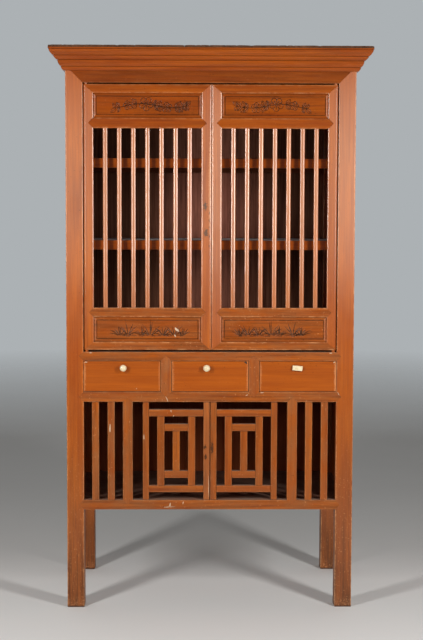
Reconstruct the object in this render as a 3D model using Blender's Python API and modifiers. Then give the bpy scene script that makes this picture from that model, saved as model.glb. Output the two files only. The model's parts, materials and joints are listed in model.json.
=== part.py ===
"""Wooden kitchen food cupboard: slatted double doors over a drawer row and a barred pot store.

Metres, +Z up. The front faces -Y. The origin is under the middle of the whole cupboard, on the floor.
"""

import math

import bmesh
import bpy
from mathutils import Matrix

# Carcass, seen from the front
BODY_WIDTH = 0.968
BODY_DEPTH = 0.560
POST = 0.057
LEG_HEIGHT = 0.337
BOTTOM_RAIL_H = 0.033
LOWER_OPENING_H = 0.335
DRAWER_RAIL_H = 0.0345
DRAWER_OPENING_H = 0.105
WAIST_RAIL_H = 0.030
DOOR_OPENING_H = 0.8977
TOP_RAIL_H = 0.057
RAIL_T = 0.040
TOP_RAIL_T = 0.032
SIDE_RAIL_T = 0.028
REAR_RAIL_T = 0.028
REAR_BOTTOM_RAIL_H = 0.034

# Joinery
GAP = 0.0004
TENON_LENGTH = 0.026
TENON_T = 0.012
TENON_SETBACK = 0.018
TENON_MARGIN = 0.008
TENON_ROOT = 0.012
SIDE_TENON_SET = 0.006
POINT_ANGLE = math.radians(45.0)
CUT_PAST = 0.004
STUB_LENGTH = 0.014
STUB_T = 0.006
WELD = 0.00001

# Crown moulding and roof
CROWN_LAP = 0.018
CROWN_TOP_OUT = 0.0515
CROWN_LIP_H = 0.004
CROWN_TOP_BEAD_H = 0.0200
CROWN_TOP_BEAD_IN = 0.0375
CROWN_COVE_H = 0.0137
CROWN_COVE_IN = 0.0245
CROWN_MIDDLE_BEAD_H = 0.0200
CROWN_MIDDLE_BEAD_IN = 0.0145
CROWN_LOW_BEAD_H = 0.0135
CROWN_LOW_BEAD_IN = 0.0060
CROWN_QUIRK = 0.0015
BEAD_SWELL = 0.16
BEAD_STEPS = 5
ROOF_T = 0.008
ROOF_BOARDS = 5
ROOF_NICK = 0.003

# Boards and panels
BOARD_T = 0.012
BOARD_REST = 0.010
BOARD_SIDE_GAP = 0.0008
BED_GROOVE = 0.008
PANEL_T = 0.010
PANEL_GROOVE = 0.006
SIDE_PANEL_SET = 0.008
BACK_PANEL_SET = 0.016
BACK_BOARDS = 5
BACK_V = 0.002
LOWER_SHELF_UP = 0.3755
UPPER_SHELF_UP = 0.6505
SHELF_SETBACK = 0.034
SHELF_LIP_H = 0.031
SHELF_LIP_T = 0.020
SHELF_LIP_STEP = 0.001
LIP_TENON_LENGTH = 0.014
LIP_TENON_EDGE = 0.006

# Upper doors
DOOR_SET = 0.001
DOOR_T = 0.026
DOOR_SIDE_GAP = 0.002
DOOR_MEETING_GAP = 0.002
DOOR_MEETING_SHIFT = 0.003
DOOR_TOP_GAP = 0.0045
DOOR_BOTTOM_GAP = 0.0069
DOOR_STILE = 0.033
DOOR_TOP_RAIL_H = 0.029
DOOR_TOP_PANEL_H = 0.082
DOOR_UPPER_MID_RAIL_H = 0.034
DOOR_LOWER_MID_RAIL_H = 0.031
DOOR_BOTTOM_PANEL_H = 0.084
DOOR_BOTTOM_RAIL_H = 0.027
DOOR_PANEL_T = 0.006
DOOR_PANEL_SET = 0.009
DOOR_PANEL_GROOVE = 0.006
FIELD_MARGIN = 0.003
FIELD_SLOPE = 0.008
FIELD_RISE = 0.006
BARS_PER_DOOR = 7
BAR_WIDTH = 0.015
BAR_T = 0.013
BAR_SET = 0.004
BAR_ROUND = 0.007
BAR_STEPS = 8
BAR_ROOT = 0.004
PIVOT_INSET = 0.009
PIVOT_R = 0.006
PIVOT_SOCKET = 0.012
PIVOT_PLAY = 0.0005
PIVOT_SIDES = 24
EDGE_ROUND_STEPS = 8
EDGE_ROUND_MORE = 0.0002

# Barred pot store
THIN_BAR = 0.0233
THIN_BAR_T = 0.020
MULLION = 0.0328
MULLION_T = 0.030
THIN_BAR_PITCH = 0.0530
FIRST_BAR_GAP = 0.028
MULLION_GAP = 0.028
LATTICE_GAP = 0.0345
LATTICE_MEETING_GAP = 0.003
LATTICE_END_GAP = 0.0012
LATTICE_SET = 0.001
LATTICE_T = 0.022
LATTICE_STILE = 0.0205
LATTICE_HORN = 0.025
LATTICE_RAIL = 0.023
FRET_STRIP = 0.0242
FRET_DROP = 0.026
LATTICE_PIN_R = 0.005

# Drawers
DIVIDER = 0.036
DIVIDER_T = 0.030
DRAWER_GAP = 0.0013
DRAWER_SET = 0.0006
DRAWER_FRONT_T = 0.018
DRAWER_FRONT_CHAMFER = 0.0012
TRAY_BACK_GAP = 0.054
TRAY_HEIGHT = 0.080
TRAY_WALL = 0.010
TRAY_FLOOR = 0.006
TRAY_SIDE_GAP = 0.0030
TRAY_PLAY = 0.0004
GUIDE_H = 0.020
GUIDE_OUTER = 0.024
GUIDE_SINK = 0.003
PULL_DROP = 0.0236
LEFT_KNOB_SHIFT = 0.004
MIDDLE_KNOB_SHIFT = -0.012
RIGHT_PULL_SHIFT = -0.0025
KNOB_R = 0.0115
KNOB_NECK_R = 0.0062
KNOB_NECK_L = 0.006
KNOB_FLAT = 0.80
KNOB_STEPS = 10
KNOB_SIDES = 24
SHANK_R = 0.004
SHANK_L = 0.014
BLOCK_PULL_W = 0.036
BLOCK_PULL_H = 0.019
BLOCK_PULL_T = 0.010
BLOCK_PULL_CHAMFER = 0.002

# Levels, from the floor up
BOTTOM_LOW = LEG_HEIGHT
BOTTOM_TOP = BOTTOM_LOW + BOTTOM_RAIL_H
DRAWER_RAIL_LOW = BOTTOM_TOP + LOWER_OPENING_H
DRAWER_RAIL_TOP = DRAWER_RAIL_LOW + DRAWER_RAIL_H
WAIST_LOW = DRAWER_RAIL_TOP + DRAWER_OPENING_H
WAIST_TOP = WAIST_LOW + WAIST_RAIL_H
TOP_RAIL_LOW = WAIST_TOP + DOOR_OPENING_H
FRAME_TOP = TOP_RAIL_LOW + TOP_RAIL_H
CROWN_LOW = FRAME_TOP - CROWN_LAP
CROWN_BANDS_H = CROWN_LOW_BEAD_H + CROWN_MIDDLE_BEAD_H + CROWN_COVE_H + CROWN_TOP_BEAD_H
CROWN_TOP = CROWN_LOW + CROWN_BANDS_H + CROWN_LIP_H

# Places across and along the depth
HALF_WIDTH = BODY_WIDTH / 2
HALF_OPENING = HALF_WIDTH - POST
FRONT = (CROWN_TOP_OUT - BODY_DEPTH) / 2
REAR = FRONT + BODY_DEPTH
FRONT_POST_BACK = FRONT + POST
REAR_POST_FRONT = REAR - POST
BACK_PANEL_FRONT = REAR - BACK_PANEL_SET - PANEL_T
SIDE_PANEL_INSIDE = HALF_WIDTH - SIDE_PANEL_SET - PANEL_T
DRAWER_OPENING_W = (2 * HALF_OPENING - 2 * DIVIDER) / 3

PLANES = {
    "XY": Matrix.Identity(4),
    "XZ": Matrix(((1, 0, 0, 0), (0, 0, 1, 0), (0, 1, 0, 0), (0, 0, 0, 1))),
    "YZ": Matrix(((0, 0, 1, 0), (1, 0, 0, 0), (0, 1, 0, 0), (0, 0, 0, 1))),
}


def clear_scene():
    """Remove every object so that the script can be run again."""
    for old in list(bpy.data.objects):
        bpy.data.objects.remove(old)


def new_collection(name):
    """Add a collection to the scene."""
    collection = bpy.data.collections.new(name)
    bpy.context.scene.collection.children.link(collection)
    return collection


def new_material(name, colour, roughness):
    """Make a plain Principled material."""
    material = bpy.data.materials.new(name)
    material.use_nodes = True
    shader = material.node_tree.nodes["Principled BSDF"]
    shader.inputs["Base Color"].default_value = (*colour, 1.0)
    shader.inputs["Roughness"].default_value = roughness
    shader.inputs["Metallic"].default_value = 0.0
    return material


clear_scene()
CABINET = new_collection("food_cabinet")
CUTTERS = new_collection("cutters")
LACQUER = new_material("lacquered_wood", (0.36, 0.12, 0.04), 0.38)
INSIDE_WOOD = new_material("dark_inside_wood", (0.10, 0.045, 0.025), 0.6)
DRAWER_WOOD = new_material("bare_drawer_wood", (0.42, 0.27, 0.15), 0.65)
IVORY = new_material("ivory_pull", (0.75, 0.66, 0.50), 0.3)


def tidy_mesh(mesh):
    """Weld the mesh and turn its faces outwards."""
    work = bmesh.new()
    work.from_mesh(mesh)
    bmesh.ops.remove_doubles(work, verts=work.verts, dist=WELD)
    bmesh.ops.recalc_face_normals(work, faces=work.faces)
    work.to_mesh(mesh)
    work.free()
    return mesh


def slab_mesh(outline, plane, low, high):
    """Fill a flat outline and give it thickness from low to high."""
    curve = bpy.data.curves.new("outline", "CURVE")
    curve.dimensions = "2D"
    curve.fill_mode = "BOTH"
    curve.extrude = (high - low) / 2
    spline = curve.splines.new("POLY")
    spline.points.add(len(outline) - 1)
    for point, (across, up) in zip(spline.points, outline):
        point.co = (across, up, 0.0, 1.0)
    spline.use_cyclic_u = True
    drawn = bpy.data.objects.new("outline", curve)
    bpy.context.scene.collection.objects.link(drawn)
    seen = drawn.evaluated_get(bpy.context.evaluated_depsgraph_get())
    mesh = bpy.data.meshes.new_from_object(seen)
    bpy.data.objects.remove(drawn)
    bpy.data.curves.remove(curve)
    mesh.transform(PLANES[plane] @ Matrix.Translation((0, 0, (low + high) / 2)))
    return tidy_mesh(mesh)


def block_mesh(low, high):
    """Make a box between two corners."""
    work = bmesh.new()
    bmesh.ops.create_cube(work, size=1.0)
    size = [b - a for a, b in zip(low, high)]
    middle = [(a + b) / 2 for a, b in zip(low, high)]
    bmesh.ops.scale(work, vec=size, verts=work.verts)
    bmesh.ops.translate(work, vec=middle, verts=work.verts)
    mesh = bpy.data.meshes.new("block")
    work.to_mesh(mesh)
    work.free()
    return mesh


def pin_mesh(centre, low, high, radius):
    """Make an upright round pin."""
    work = bmesh.new()
    bmesh.ops.create_cone(
        work, cap_ends=True, segments=PIVOT_SIDES, radius1=radius, radius2=radius, depth=high - low
    )
    bmesh.ops.translate(work, vec=(centre[0], centre[1], (low + high) / 2), verts=work.verts)
    mesh = bpy.data.meshes.new("pin")
    work.to_mesh(mesh)
    work.free()
    return mesh


def gathered(meshes):
    """Put several meshes that don't touch into one."""
    work = bmesh.new()
    for mesh in meshes:
        work.from_mesh(mesh)
    together = bpy.data.meshes.new("gathered")
    work.to_mesh(together)
    work.free()
    return together


def piece(name, mesh, material=LACQUER):
    """Add a named piece of the cupboard."""
    mesh.name = name
    mesh.materials.append(material)
    thing = bpy.data.objects.new(name, mesh)
    CABINET.objects.link(thing)
    return thing


def tool(mesh):
    """Add a hidden shape that cuts or joins pieces."""
    thing = bpy.data.objects.new("tool", mesh)
    thing.hide_render = True
    thing.display_type = "WIRE"
    CUTTERS.objects.link(thing)
    return thing


def shape_with(thing, other, operation):
    """Put one Boolean step on a piece."""
    step = thing.modifiers.new(operation.lower(), "BOOLEAN")
    step.operation = operation
    step.solver = "EXACT"
    step.object = other


def cut(hosts, mesh):
    """Take the same shape out of each host."""
    cutter = tool(mesh)
    for host in hosts:
        shape_with(host, cutter, "DIFFERENCE")


def join(thing, mesh):
    """Fuse a shape to a piece."""
    shape_with(thing, tool(mesh), "UNION")


def grown(low, high, by=GAP):
    """Give the corners of a box grown by a clearance."""
    return [a - by for a in low], [b + by for b in high]


def tenon(thing, hosts, low, high):
    """Fuse a tenon to a piece and cut its mortise in the hosts."""
    join(thing, block_mesh(low, high))
    cut(hosts, block_mesh(*grown(low, high)))


def ordered(one, two):
    """Give two numbers with the smaller first."""
    return min(one, two), max(one, two)


def pointed_outline(start, end, low, high, more=0.0):
    """Give a bar's outline, (along, across), with a point at each end; more grows it all round."""
    point = (high - low) / 2 / math.tan(POINT_ANGLE) + more
    middle = (low + high) / 2
    return [
        (start, low - more),
        (end, low - more),
        (end + point, middle),
        (end, high + more),
        (start, high + more),
        (start - point, middle),
    ]


def swapped(outline):
    """Turn a lying outline upright."""
    return [(across, along) for along, across in outline]


# Posts
def make_posts():
    """Four square posts that run down to be the legs."""
    posts = {}
    for depth_name, low_y in (("front", FRONT), ("rear", REAR_POST_FRONT)):
        for side_name, side in (("left", -1), ("right", 1)):
            x_low, x_high = ordered(side * HALF_OPENING, side * HALF_WIDTH)
            mesh = block_mesh((x_low, low_y, 0.0), (x_high, low_y + POST, FRAME_TOP))
            posts[depth_name, side] = piece(f"post_{depth_name}_{side_name}", mesh)
    return posts


# Front rails
def make_front_rail(name, low, high, posts):
    """A front rail with pointed shoulders, tenons and a rest for a board along its inner top edge."""
    end = HALF_OPENING - GAP
    back = FRONT + RAIL_T
    rail = piece(name, slab_mesh(pointed_outline(-end, end, low, high), "XZ", FRONT, back))
    hosts = [posts["front", -1], posts["front", 1]]
    cut(hosts, slab_mesh(pointed_outline(-end, end, low, high, GAP), "XZ", FRONT - CUT_PAST, back + GAP))
    for side in (-1, 1):
        x_low, x_high = ordered(side * (end - TENON_ROOT), side * (end + TENON_LENGTH))
        tenon_low = (x_low, FRONT + TENON_SETBACK, low + TENON_MARGIN)
        tenon_high = (x_high, FRONT + TENON_SETBACK + TENON_T, high - TENON_MARGIN - BOARD_T / 2)
        tenon(rail, [posts["front", side]], tenon_low, tenon_high)
    rest_low = (-HALF_OPENING, back - BOARD_REST, high - BOARD_T - GAP)
    rest_high = (HALF_OPENING, back + CUT_PAST, high + CUT_PAST)
    cut([rail], block_mesh(rest_low, rest_high))
    return rail


def make_top_rail(posts):
    """The front top rail, mitred on its face into the posts from corner to corner."""
    outline = [
        (-HALF_OPENING + GAP, TOP_RAIL_LOW),
        (HALF_OPENING - GAP, TOP_RAIL_LOW),
        (HALF_WIDTH - GAP, FRAME_TOP),
        (-HALF_WIDTH + GAP, FRAME_TOP),
    ]
    back = FRONT + TOP_RAIL_T
    rail = piece("top_rail_front", slab_mesh(outline, "XZ", FRONT, back))
    lean = POST / TOP_RAIL_H
    for side in (-1, 1):
        waste = [
            (side * (HALF_OPENING - CUT_PAST * lean), TOP_RAIL_LOW - CUT_PAST),
            (side * (HALF_WIDTH + CUT_PAST * lean), FRAME_TOP + CUT_PAST),
            (side * (HALF_OPENING - CUT_PAST * lean), FRAME_TOP + CUT_PAST),
        ]
        host = posts["front", side]
        cut([host], slab_mesh(waste, "XZ", FRONT - CUT_PAST, back + GAP))
        x_low, x_high = ordered(side * (HALF_OPENING - TENON_ROOT), side * (HALF_OPENING + TENON_LENGTH))
        tenon_low = (x_low, FRONT + TENON_SETBACK, TOP_RAIL_LOW + TENON_MARGIN)
        tenon_high = (x_high, FRONT + TENON_SETBACK + TENON_T, TOP_RAIL_LOW + TENON_MARGIN + TENON_T)
        tenon(rail, [host], tenon_low, tenon_high)
    return rail


# Side frames
def make_side_frame(side_name, side, posts):
    """Two side rails and the panel that they and the posts hold in grooves."""
    hosts = [posts["front", side], posts["rear", side]]
    x_low, x_high = ordered(side * HALF_WIDTH, side * (HALF_WIDTH - SIDE_RAIL_T))
    tenon_x = ordered(side * (HALF_WIDTH - SIDE_TENON_SET), side * (HALF_WIDTH - SIDE_TENON_SET - TENON_T))
    y_low = FRONT_POST_BACK + GAP
    y_high = REAR_POST_FRONT - GAP
    reach = POST - TOP_RAIL_T - CUT_PAST
    rails = []
    for level_name, low, high in (("bottom", BOTTOM_LOW, BOTTOM_TOP), ("top", TOP_RAIL_LOW, FRAME_TOP)):
        mesh = block_mesh((x_low, y_low, low), (x_high, y_high, high))
        rail = piece(f"{level_name}_rail_{side_name}", mesh)
        for end, way in ((y_low, -1), (y_high, 1)):
            ends = ordered(end - way * TENON_ROOT, end + way * reach)
            tenon_low = (tenon_x[0], ends[0], low + TENON_MARGIN)
            tenon_high = (tenon_x[1], ends[1], high - TENON_MARGIN)
            tenon(rail, hosts, tenon_low, tenon_high)
        rails.append(rail)
    outside = HALF_WIDTH - SIDE_PANEL_SET
    panel_x = ordered(side * outside, side * (outside - PANEL_T))
    panel_low = (panel_x[0], FRONT_POST_BACK - PANEL_GROOVE, BOTTOM_TOP - PANEL_GROOVE)
    panel_high = (panel_x[1], REAR_POST_FRONT + PANEL_GROOVE, TOP_RAIL_LOW + PANEL_GROOVE)
    piece(f"side_panel_{side_name}", block_mesh(panel_low, panel_high))
    cut(hosts + rails, block_mesh(*grown(panel_low, panel_high)))


# Back
def make_rear_rail(name, low, high, posts):
    """A rear rail tenoned between the rear posts."""
    y_low = REAR_POST_FRONT
    y_high = y_low + REAR_RAIL_T
    end = HALF_OPENING - GAP
    rail = piece(name, block_mesh((-end, y_low, low), (end, y_high, high)), INSIDE_WOOD)
    tenon_y = y_low + (REAR_RAIL_T - TENON_T) / 2
    for side in (-1, 1):
        x_low, x_high = ordered(side * (end - TENON_ROOT), side * (end + TENON_LENGTH))
        tenon_low = (x_low, tenon_y, low + TENON_MARGIN)
        tenon_high = (x_high, tenon_y + TENON_T, min(high, FRAME_TOP) - TENON_MARGIN)
        tenon(rail, [posts["rear", side]], tenon_low, tenon_high)
    return rail


def joint_grooves(start, end, level, way, count, size):
    """Give an edge from start to end with a small V at each of the joints between count boards."""
    pitch = (end - start) / count
    points = [(start, level)]
    for number in range(1, count):
        middle = start + pitch * number
        half = size if end > start else -size
        points += [(middle - half, level), (middle, level + way * size), (middle + half, level)]
    points.append((end, level))
    return points


def make_back_panel(posts):
    """The back, upright boards in grooves of the rear posts, with a V along each joint."""
    half = HALF_OPENING + PANEL_GROOVE
    front = BACK_PANEL_FRONT
    back = front + PANEL_T
    low = BOTTOM_TOP - BOARD_T - REAR_BOTTOM_RAIL_H
    outline = joint_grooves(-half, half, front, 1, BACK_BOARDS, BACK_V)
    outline += joint_grooves(half, -half, back, -1, BACK_BOARDS, BACK_V)
    piece("back_panel", slab_mesh(outline, "XY", low, FRAME_TOP), INSIDE_WOOD)
    space_low, space_high = grown((-half, front, low), (half, back, FRAME_TOP))
    cut([posts["rear", -1], posts["rear", 1]], block_mesh(space_low, space_high))


# Boards
def make_board(name, top, y_front, y_rear, side_wall):
    """A board that reaches to the side walls and is notched round the four posts."""
    narrow = HALF_OPENING - BOARD_SIDE_GAP
    wide = side_wall - BOARD_SIDE_GAP
    low = top - BOARD_T
    board = piece(name, block_mesh((-wide, y_front, low), (wide, y_rear, top)), INSIDE_WOOD)
    notches = []
    for side in (-1, 1):
        x_low, x_high = ordered(side * narrow, side * (wide + CUT_PAST))
        for start, end in (
            (y_front - CUT_PAST, FRONT_POST_BACK + BOARD_SIDE_GAP),
            (REAR_POST_FRONT - BOARD_SIDE_GAP, y_rear + CUT_PAST),
        ):
            notches.append(block_mesh((x_low, start, low - CUT_PAST), (x_high, end, top + CUT_PAST)))
    cut([board], gathered(notches))
    return board


def make_floor_board(name, top, y_rear, side_wall):
    """A board that lies on the rest of a front rail."""
    return make_board(name, top, FRONT + RAIL_T - BOARD_REST + GAP, y_rear, side_wall)


def make_shelf(name, top, posts):
    """A shelf board on a front and a rear lip that are tenoned into the posts."""
    y_front = FRONT + SHELF_SETBACK
    y_rear = BACK_PANEL_FRONT - GAP
    shelf = make_board(name, top, y_front + SHELF_LIP_STEP, y_rear, SIDE_PANEL_INSIDE)
    lip_high = top - SHELF_LIP_STEP
    lip_low = lip_high - SHELF_LIP_H
    end = HALF_OPENING - BOARD_SIDE_GAP - SHELF_LIP_STEP
    rear_lip = y_rear - SHELF_LIP_STEP - SHELF_LIP_T
    for depth_name, lip_y in (("front", y_front), ("rear", rear_lip)):
        join(shelf, block_mesh((-end, lip_y, lip_low), (end, lip_y + SHELF_LIP_T, lip_high)))
        for side in (-1, 1):
            x_low, x_high = ordered(side * (end - TENON_ROOT), side * (HALF_OPENING + LIP_TENON_LENGTH))
            tenon_low = (x_low, lip_y + LIP_TENON_EDGE, lip_low + LIP_TENON_EDGE)
            tenon_high = (x_high, lip_y + SHELF_LIP_T - LIP_TENON_EDGE, lip_high - BOARD_T)
            tenon(shelf, [posts[depth_name, side]], tenon_low, tenon_high)


def drawer_middle(number):
    """Give the middle of a drawer opening; 0 is the left one."""
    return (number - 1) * (DRAWER_OPENING_W + DIVIDER)


def make_drawer_bed():
    """The board that the drawers run on, with a guide strip on each side of each drawer."""
    y_rear = REAR_POST_FRONT + BED_GROOVE - GAP
    bed = make_floor_board("drawer_bed", DRAWER_RAIL_TOP, y_rear, SIDE_PANEL_INSIDE)
    low_y = FRONT_POST_BACK + BOARD_SIDE_GAP + GUIDE_SINK
    high_y = REAR_POST_FRONT - BOARD_SIDE_GAP - GUIDE_SINK
    inner = DRAWER_OPENING_W / 2
    strips = [
        (-HALF_OPENING - GUIDE_OUTER, -HALF_OPENING),
        (-inner - DIVIDER, -inner),
        (inner, inner + DIVIDER),
        (HALF_OPENING, HALF_OPENING + GUIDE_OUTER),
    ]
    for x_low, x_high in strips:
        low = (x_low, low_y, DRAWER_RAIL_TOP - GUIDE_SINK)
        join(bed, block_mesh(low, (x_high, high_y, DRAWER_RAIL_TOP + GUIDE_H)))


# Uprights between the front rails
def make_upright(name, x_low, x_high, z_low, z_high, thickness, hosts, pointed):
    """A fixed upright between two rails, with stub tenons and, if asked, pointed ends."""
    z_low += GAP
    z_high -= GAP
    back = FRONT + thickness
    outline = [(x_low, z_low), (x_high, z_low), (x_high, z_high), (x_low, z_high)]
    if pointed:
        outline = swapped(pointed_outline(z_low, z_high, x_low, x_high))
        space = swapped(pointed_outline(z_low, z_high, x_low, x_high, GAP))
        cut(hosts, slab_mesh(space, "XZ", FRONT - CUT_PAST, back + GAP))
    upright = piece(name, slab_mesh(outline, "XZ", FRONT, back))
    quarter = (x_high - x_low) / 4
    y_low = FRONT + (thickness - STUB_T) / 2
    for host, end, way in ((hosts[0], z_low, -1), (hosts[1], z_high, 1)):
        ends = ordered(end - way * TENON_ROOT, end + way * STUB_LENGTH)
        tenon_low = (x_low + quarter, y_low, ends[0])
        tenon_high = (x_high - quarter, y_low + STUB_T, ends[1])
        tenon(upright, [host], tenon_low, tenon_high)


def make_fixed_bars(drawer_rail, bottom_rail):
    """Two thin bars and one thick mullion on each side of the pot store."""
    hosts = [bottom_rail, drawer_rail]
    for side_name, side in (("left", -1), ("right", 1)):
        for number, bar_name in enumerate(("outer", "inner")):
            outer = HALF_OPENING - FIRST_BAR_GAP - number * THIN_BAR_PITCH
            x_low, x_high = ordered(side * outer, side * (outer - THIN_BAR))
            name = f"thin_bar_{bar_name}_{side_name}"
            make_upright(name, x_low, x_high, BOTTOM_TOP, DRAWER_RAIL_LOW, THIN_BAR_T, hosts, False)
        outer = mullion_outside()
        x_low, x_high = ordered(side * outer, side * (outer - MULLION))
        name = f"mullion_{side_name}"
        make_upright(name, x_low, x_high, BOTTOM_TOP, DRAWER_RAIL_LOW, MULLION_T, hosts, True)


def mullion_outside():
    """Give how far from the middle the outer face of a mullion lies."""
    return HALF_OPENING - FIRST_BAR_GAP - THIN_BAR_PITCH - THIN_BAR - MULLION_GAP


def make_dividers(drawer_rail, waist_rail):
    """The two short uprights between the drawers."""
    for side_name, side in (("left", -1), ("right", 1)):
        inner = DRAWER_OPENING_W / 2
        x_low, x_high = ordered(side * inner, side * (inner + DIVIDER))
        name = f"drawer_divider_{side_name}"
        hosts = [drawer_rail, waist_rail]
        make_upright(name, x_low, x_high, DRAWER_RAIL_TOP, WAIST_LOW, DIVIDER_T, hosts, True)


# Crown and roof
def swelled(start, end):
    """Give the points of a bead that swells out between two points of a section, without the first."""
    run = end[0] - start[0]
    rise = end[1] - start[1]
    points = []
    for step in range(1, BEAD_STEPS + 1):
        share = step / BEAD_STEPS
        swell = BEAD_SWELL * 4 * share * (1 - share)
        points.append((start[0] + run * share - rise * swell, start[1] + rise * share + run * swell))
    return points


def crown_section():
    """Give the crown's section as (how far out from the body, height)."""
    lip_low = CROWN_TOP - CROWN_LIP_H
    top_low = lip_low - CROWN_TOP_BEAD_H
    cove_low = top_low - CROWN_COVE_H
    middle_low = cove_low - CROWN_MIDDLE_BEAD_H
    points = [(-POST, FRAME_TOP + GAP), (-POST, CROWN_TOP)]
    points += [(CROWN_TOP_OUT, CROWN_TOP), (CROWN_TOP_OUT, lip_low)]
    points += swelled((CROWN_TOP_OUT - CROWN_QUIRK, lip_low), (CROWN_TOP_BEAD_IN, top_low))
    points += swelled((CROWN_TOP_BEAD_IN - CROWN_QUIRK, top_low), (CROWN_COVE_IN, cove_low))
    points += swelled((CROWN_COVE_IN - CROWN_QUIRK, cove_low), (CROWN_MIDDLE_BEAD_IN, middle_low))
    points += swelled((CROWN_MIDDLE_BEAD_IN - CROWN_QUIRK, middle_low), (CROWN_LOW_BEAD_IN, CROWN_LOW))
    points += [(GAP, CROWN_LOW), (GAP, FRAME_TOP + GAP)]
    return points


def make_crown():
    """The front crown moulding and the two side ones, mitred at the front corners."""
    front_section = [(FRONT - out, height) for out, height in crown_section()]
    mesh = slab_mesh(front_section, "YZ", -HALF_WIDTH, HALF_WIDTH)
    for vertex in mesh.vertices:
        out = FRONT - vertex.co.y
        vertex.co.x += math.copysign(1.0, vertex.co.x) * (out - GAP)
    piece("crown_front", mesh)
    for side_name, side in (("left", -1), ("right", 1)):
        section = [(side * (HALF_WIDTH + out), height) for out, height in crown_section()]
        mesh = slab_mesh(section, "XZ", FRONT, REAR)
        for vertex in mesh.vertices:
            if vertex.co.y < FRONT + GAP:
                vertex.co.y -= abs(vertex.co.x) - HALF_WIDTH
        piece(f"crown_{side_name}", mesh)


def make_roof():
    """The roof boards, as one sheet with a nick at each joint along its front and rear edges."""
    half = HALF_WIDTH + CROWN_TOP_OUT
    outline = joint_grooves(-half, half, FRONT - CROWN_TOP_OUT, 1, ROOF_BOARDS, ROOF_NICK)
    outline += joint_grooves(half, -half, REAR, -1, ROOF_BOARDS, ROOF_NICK)
    low = CROWN_TOP + GAP
    piece("roof", slab_mesh(outline, "XY", low, low + ROOF_T))


# Joints
def joint_empty(name, place):
    """Add an empty on a joint's axis."""
    empty = bpy.data.objects.new(name, None)
    empty.location = place
    CABINET.objects.link(empty)
    return empty


def carry(empty, things):
    """Parent pieces to an empty and leave them where they are."""
    for thing in things:
        thing.parent = empty
        thing.matrix_parent_inverse = Matrix.Translation(empty.location).inverted()


# Upper doors
def rounded_waste(axis, side, low, high):
    """Give the waste outside the round front edge that turns beside the post."""
    radius = PIVOT_INSET + EDGE_ROUND_MORE
    far = PIVOT_INSET + CUT_PAST
    outline = []
    for step in range(EDGE_ROUND_STEPS + 1):
        angle = math.pi / 2 * step / EDGE_ROUND_STEPS
        outline.append((axis[0] + side * radius * math.cos(angle), axis[1] - radius * math.sin(angle)))
    outline.append((axis[0], axis[1] - far))
    outline.append((axis[0] + side * far, axis[1] - far))
    outline.append((axis[0] + side * far, axis[1]))
    return slab_mesh(outline, "XY", low, high)


def raised_panel(name, low, high):
    """A panel with a thin edge for the grooves and a raised field with sloped sides on its front."""
    mesh = block_mesh(low, high)
    work = bmesh.new()
    work.from_mesh(mesh)
    front = min(work.faces, key=lambda face: face.calc_center_median().y)
    bmesh.ops.inset_region(work, faces=[front], thickness=DOOR_PANEL_GROOVE + FIELD_MARGIN)
    bmesh.ops.inset_region(work, faces=[front], thickness=FIELD_SLOPE, depth=FIELD_RISE)
    work.to_mesh(mesh)
    work.free()
    return piece(name, mesh)


def bar_section(middle, y_front):
    """Give a slat's section: flat back and sides, round front."""
    half = BAR_WIDTH / 2
    shoulder = y_front + BAR_ROUND
    points = [(middle + half, y_front + BAR_T), (middle - half, y_front + BAR_T)]
    for step in range(BAR_STEPS + 1):
        angle = math.pi * step / BAR_STEPS
        points.append((middle - half * math.cos(angle), shoulder - BAR_ROUND * math.sin(angle)))
    return points


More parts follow.
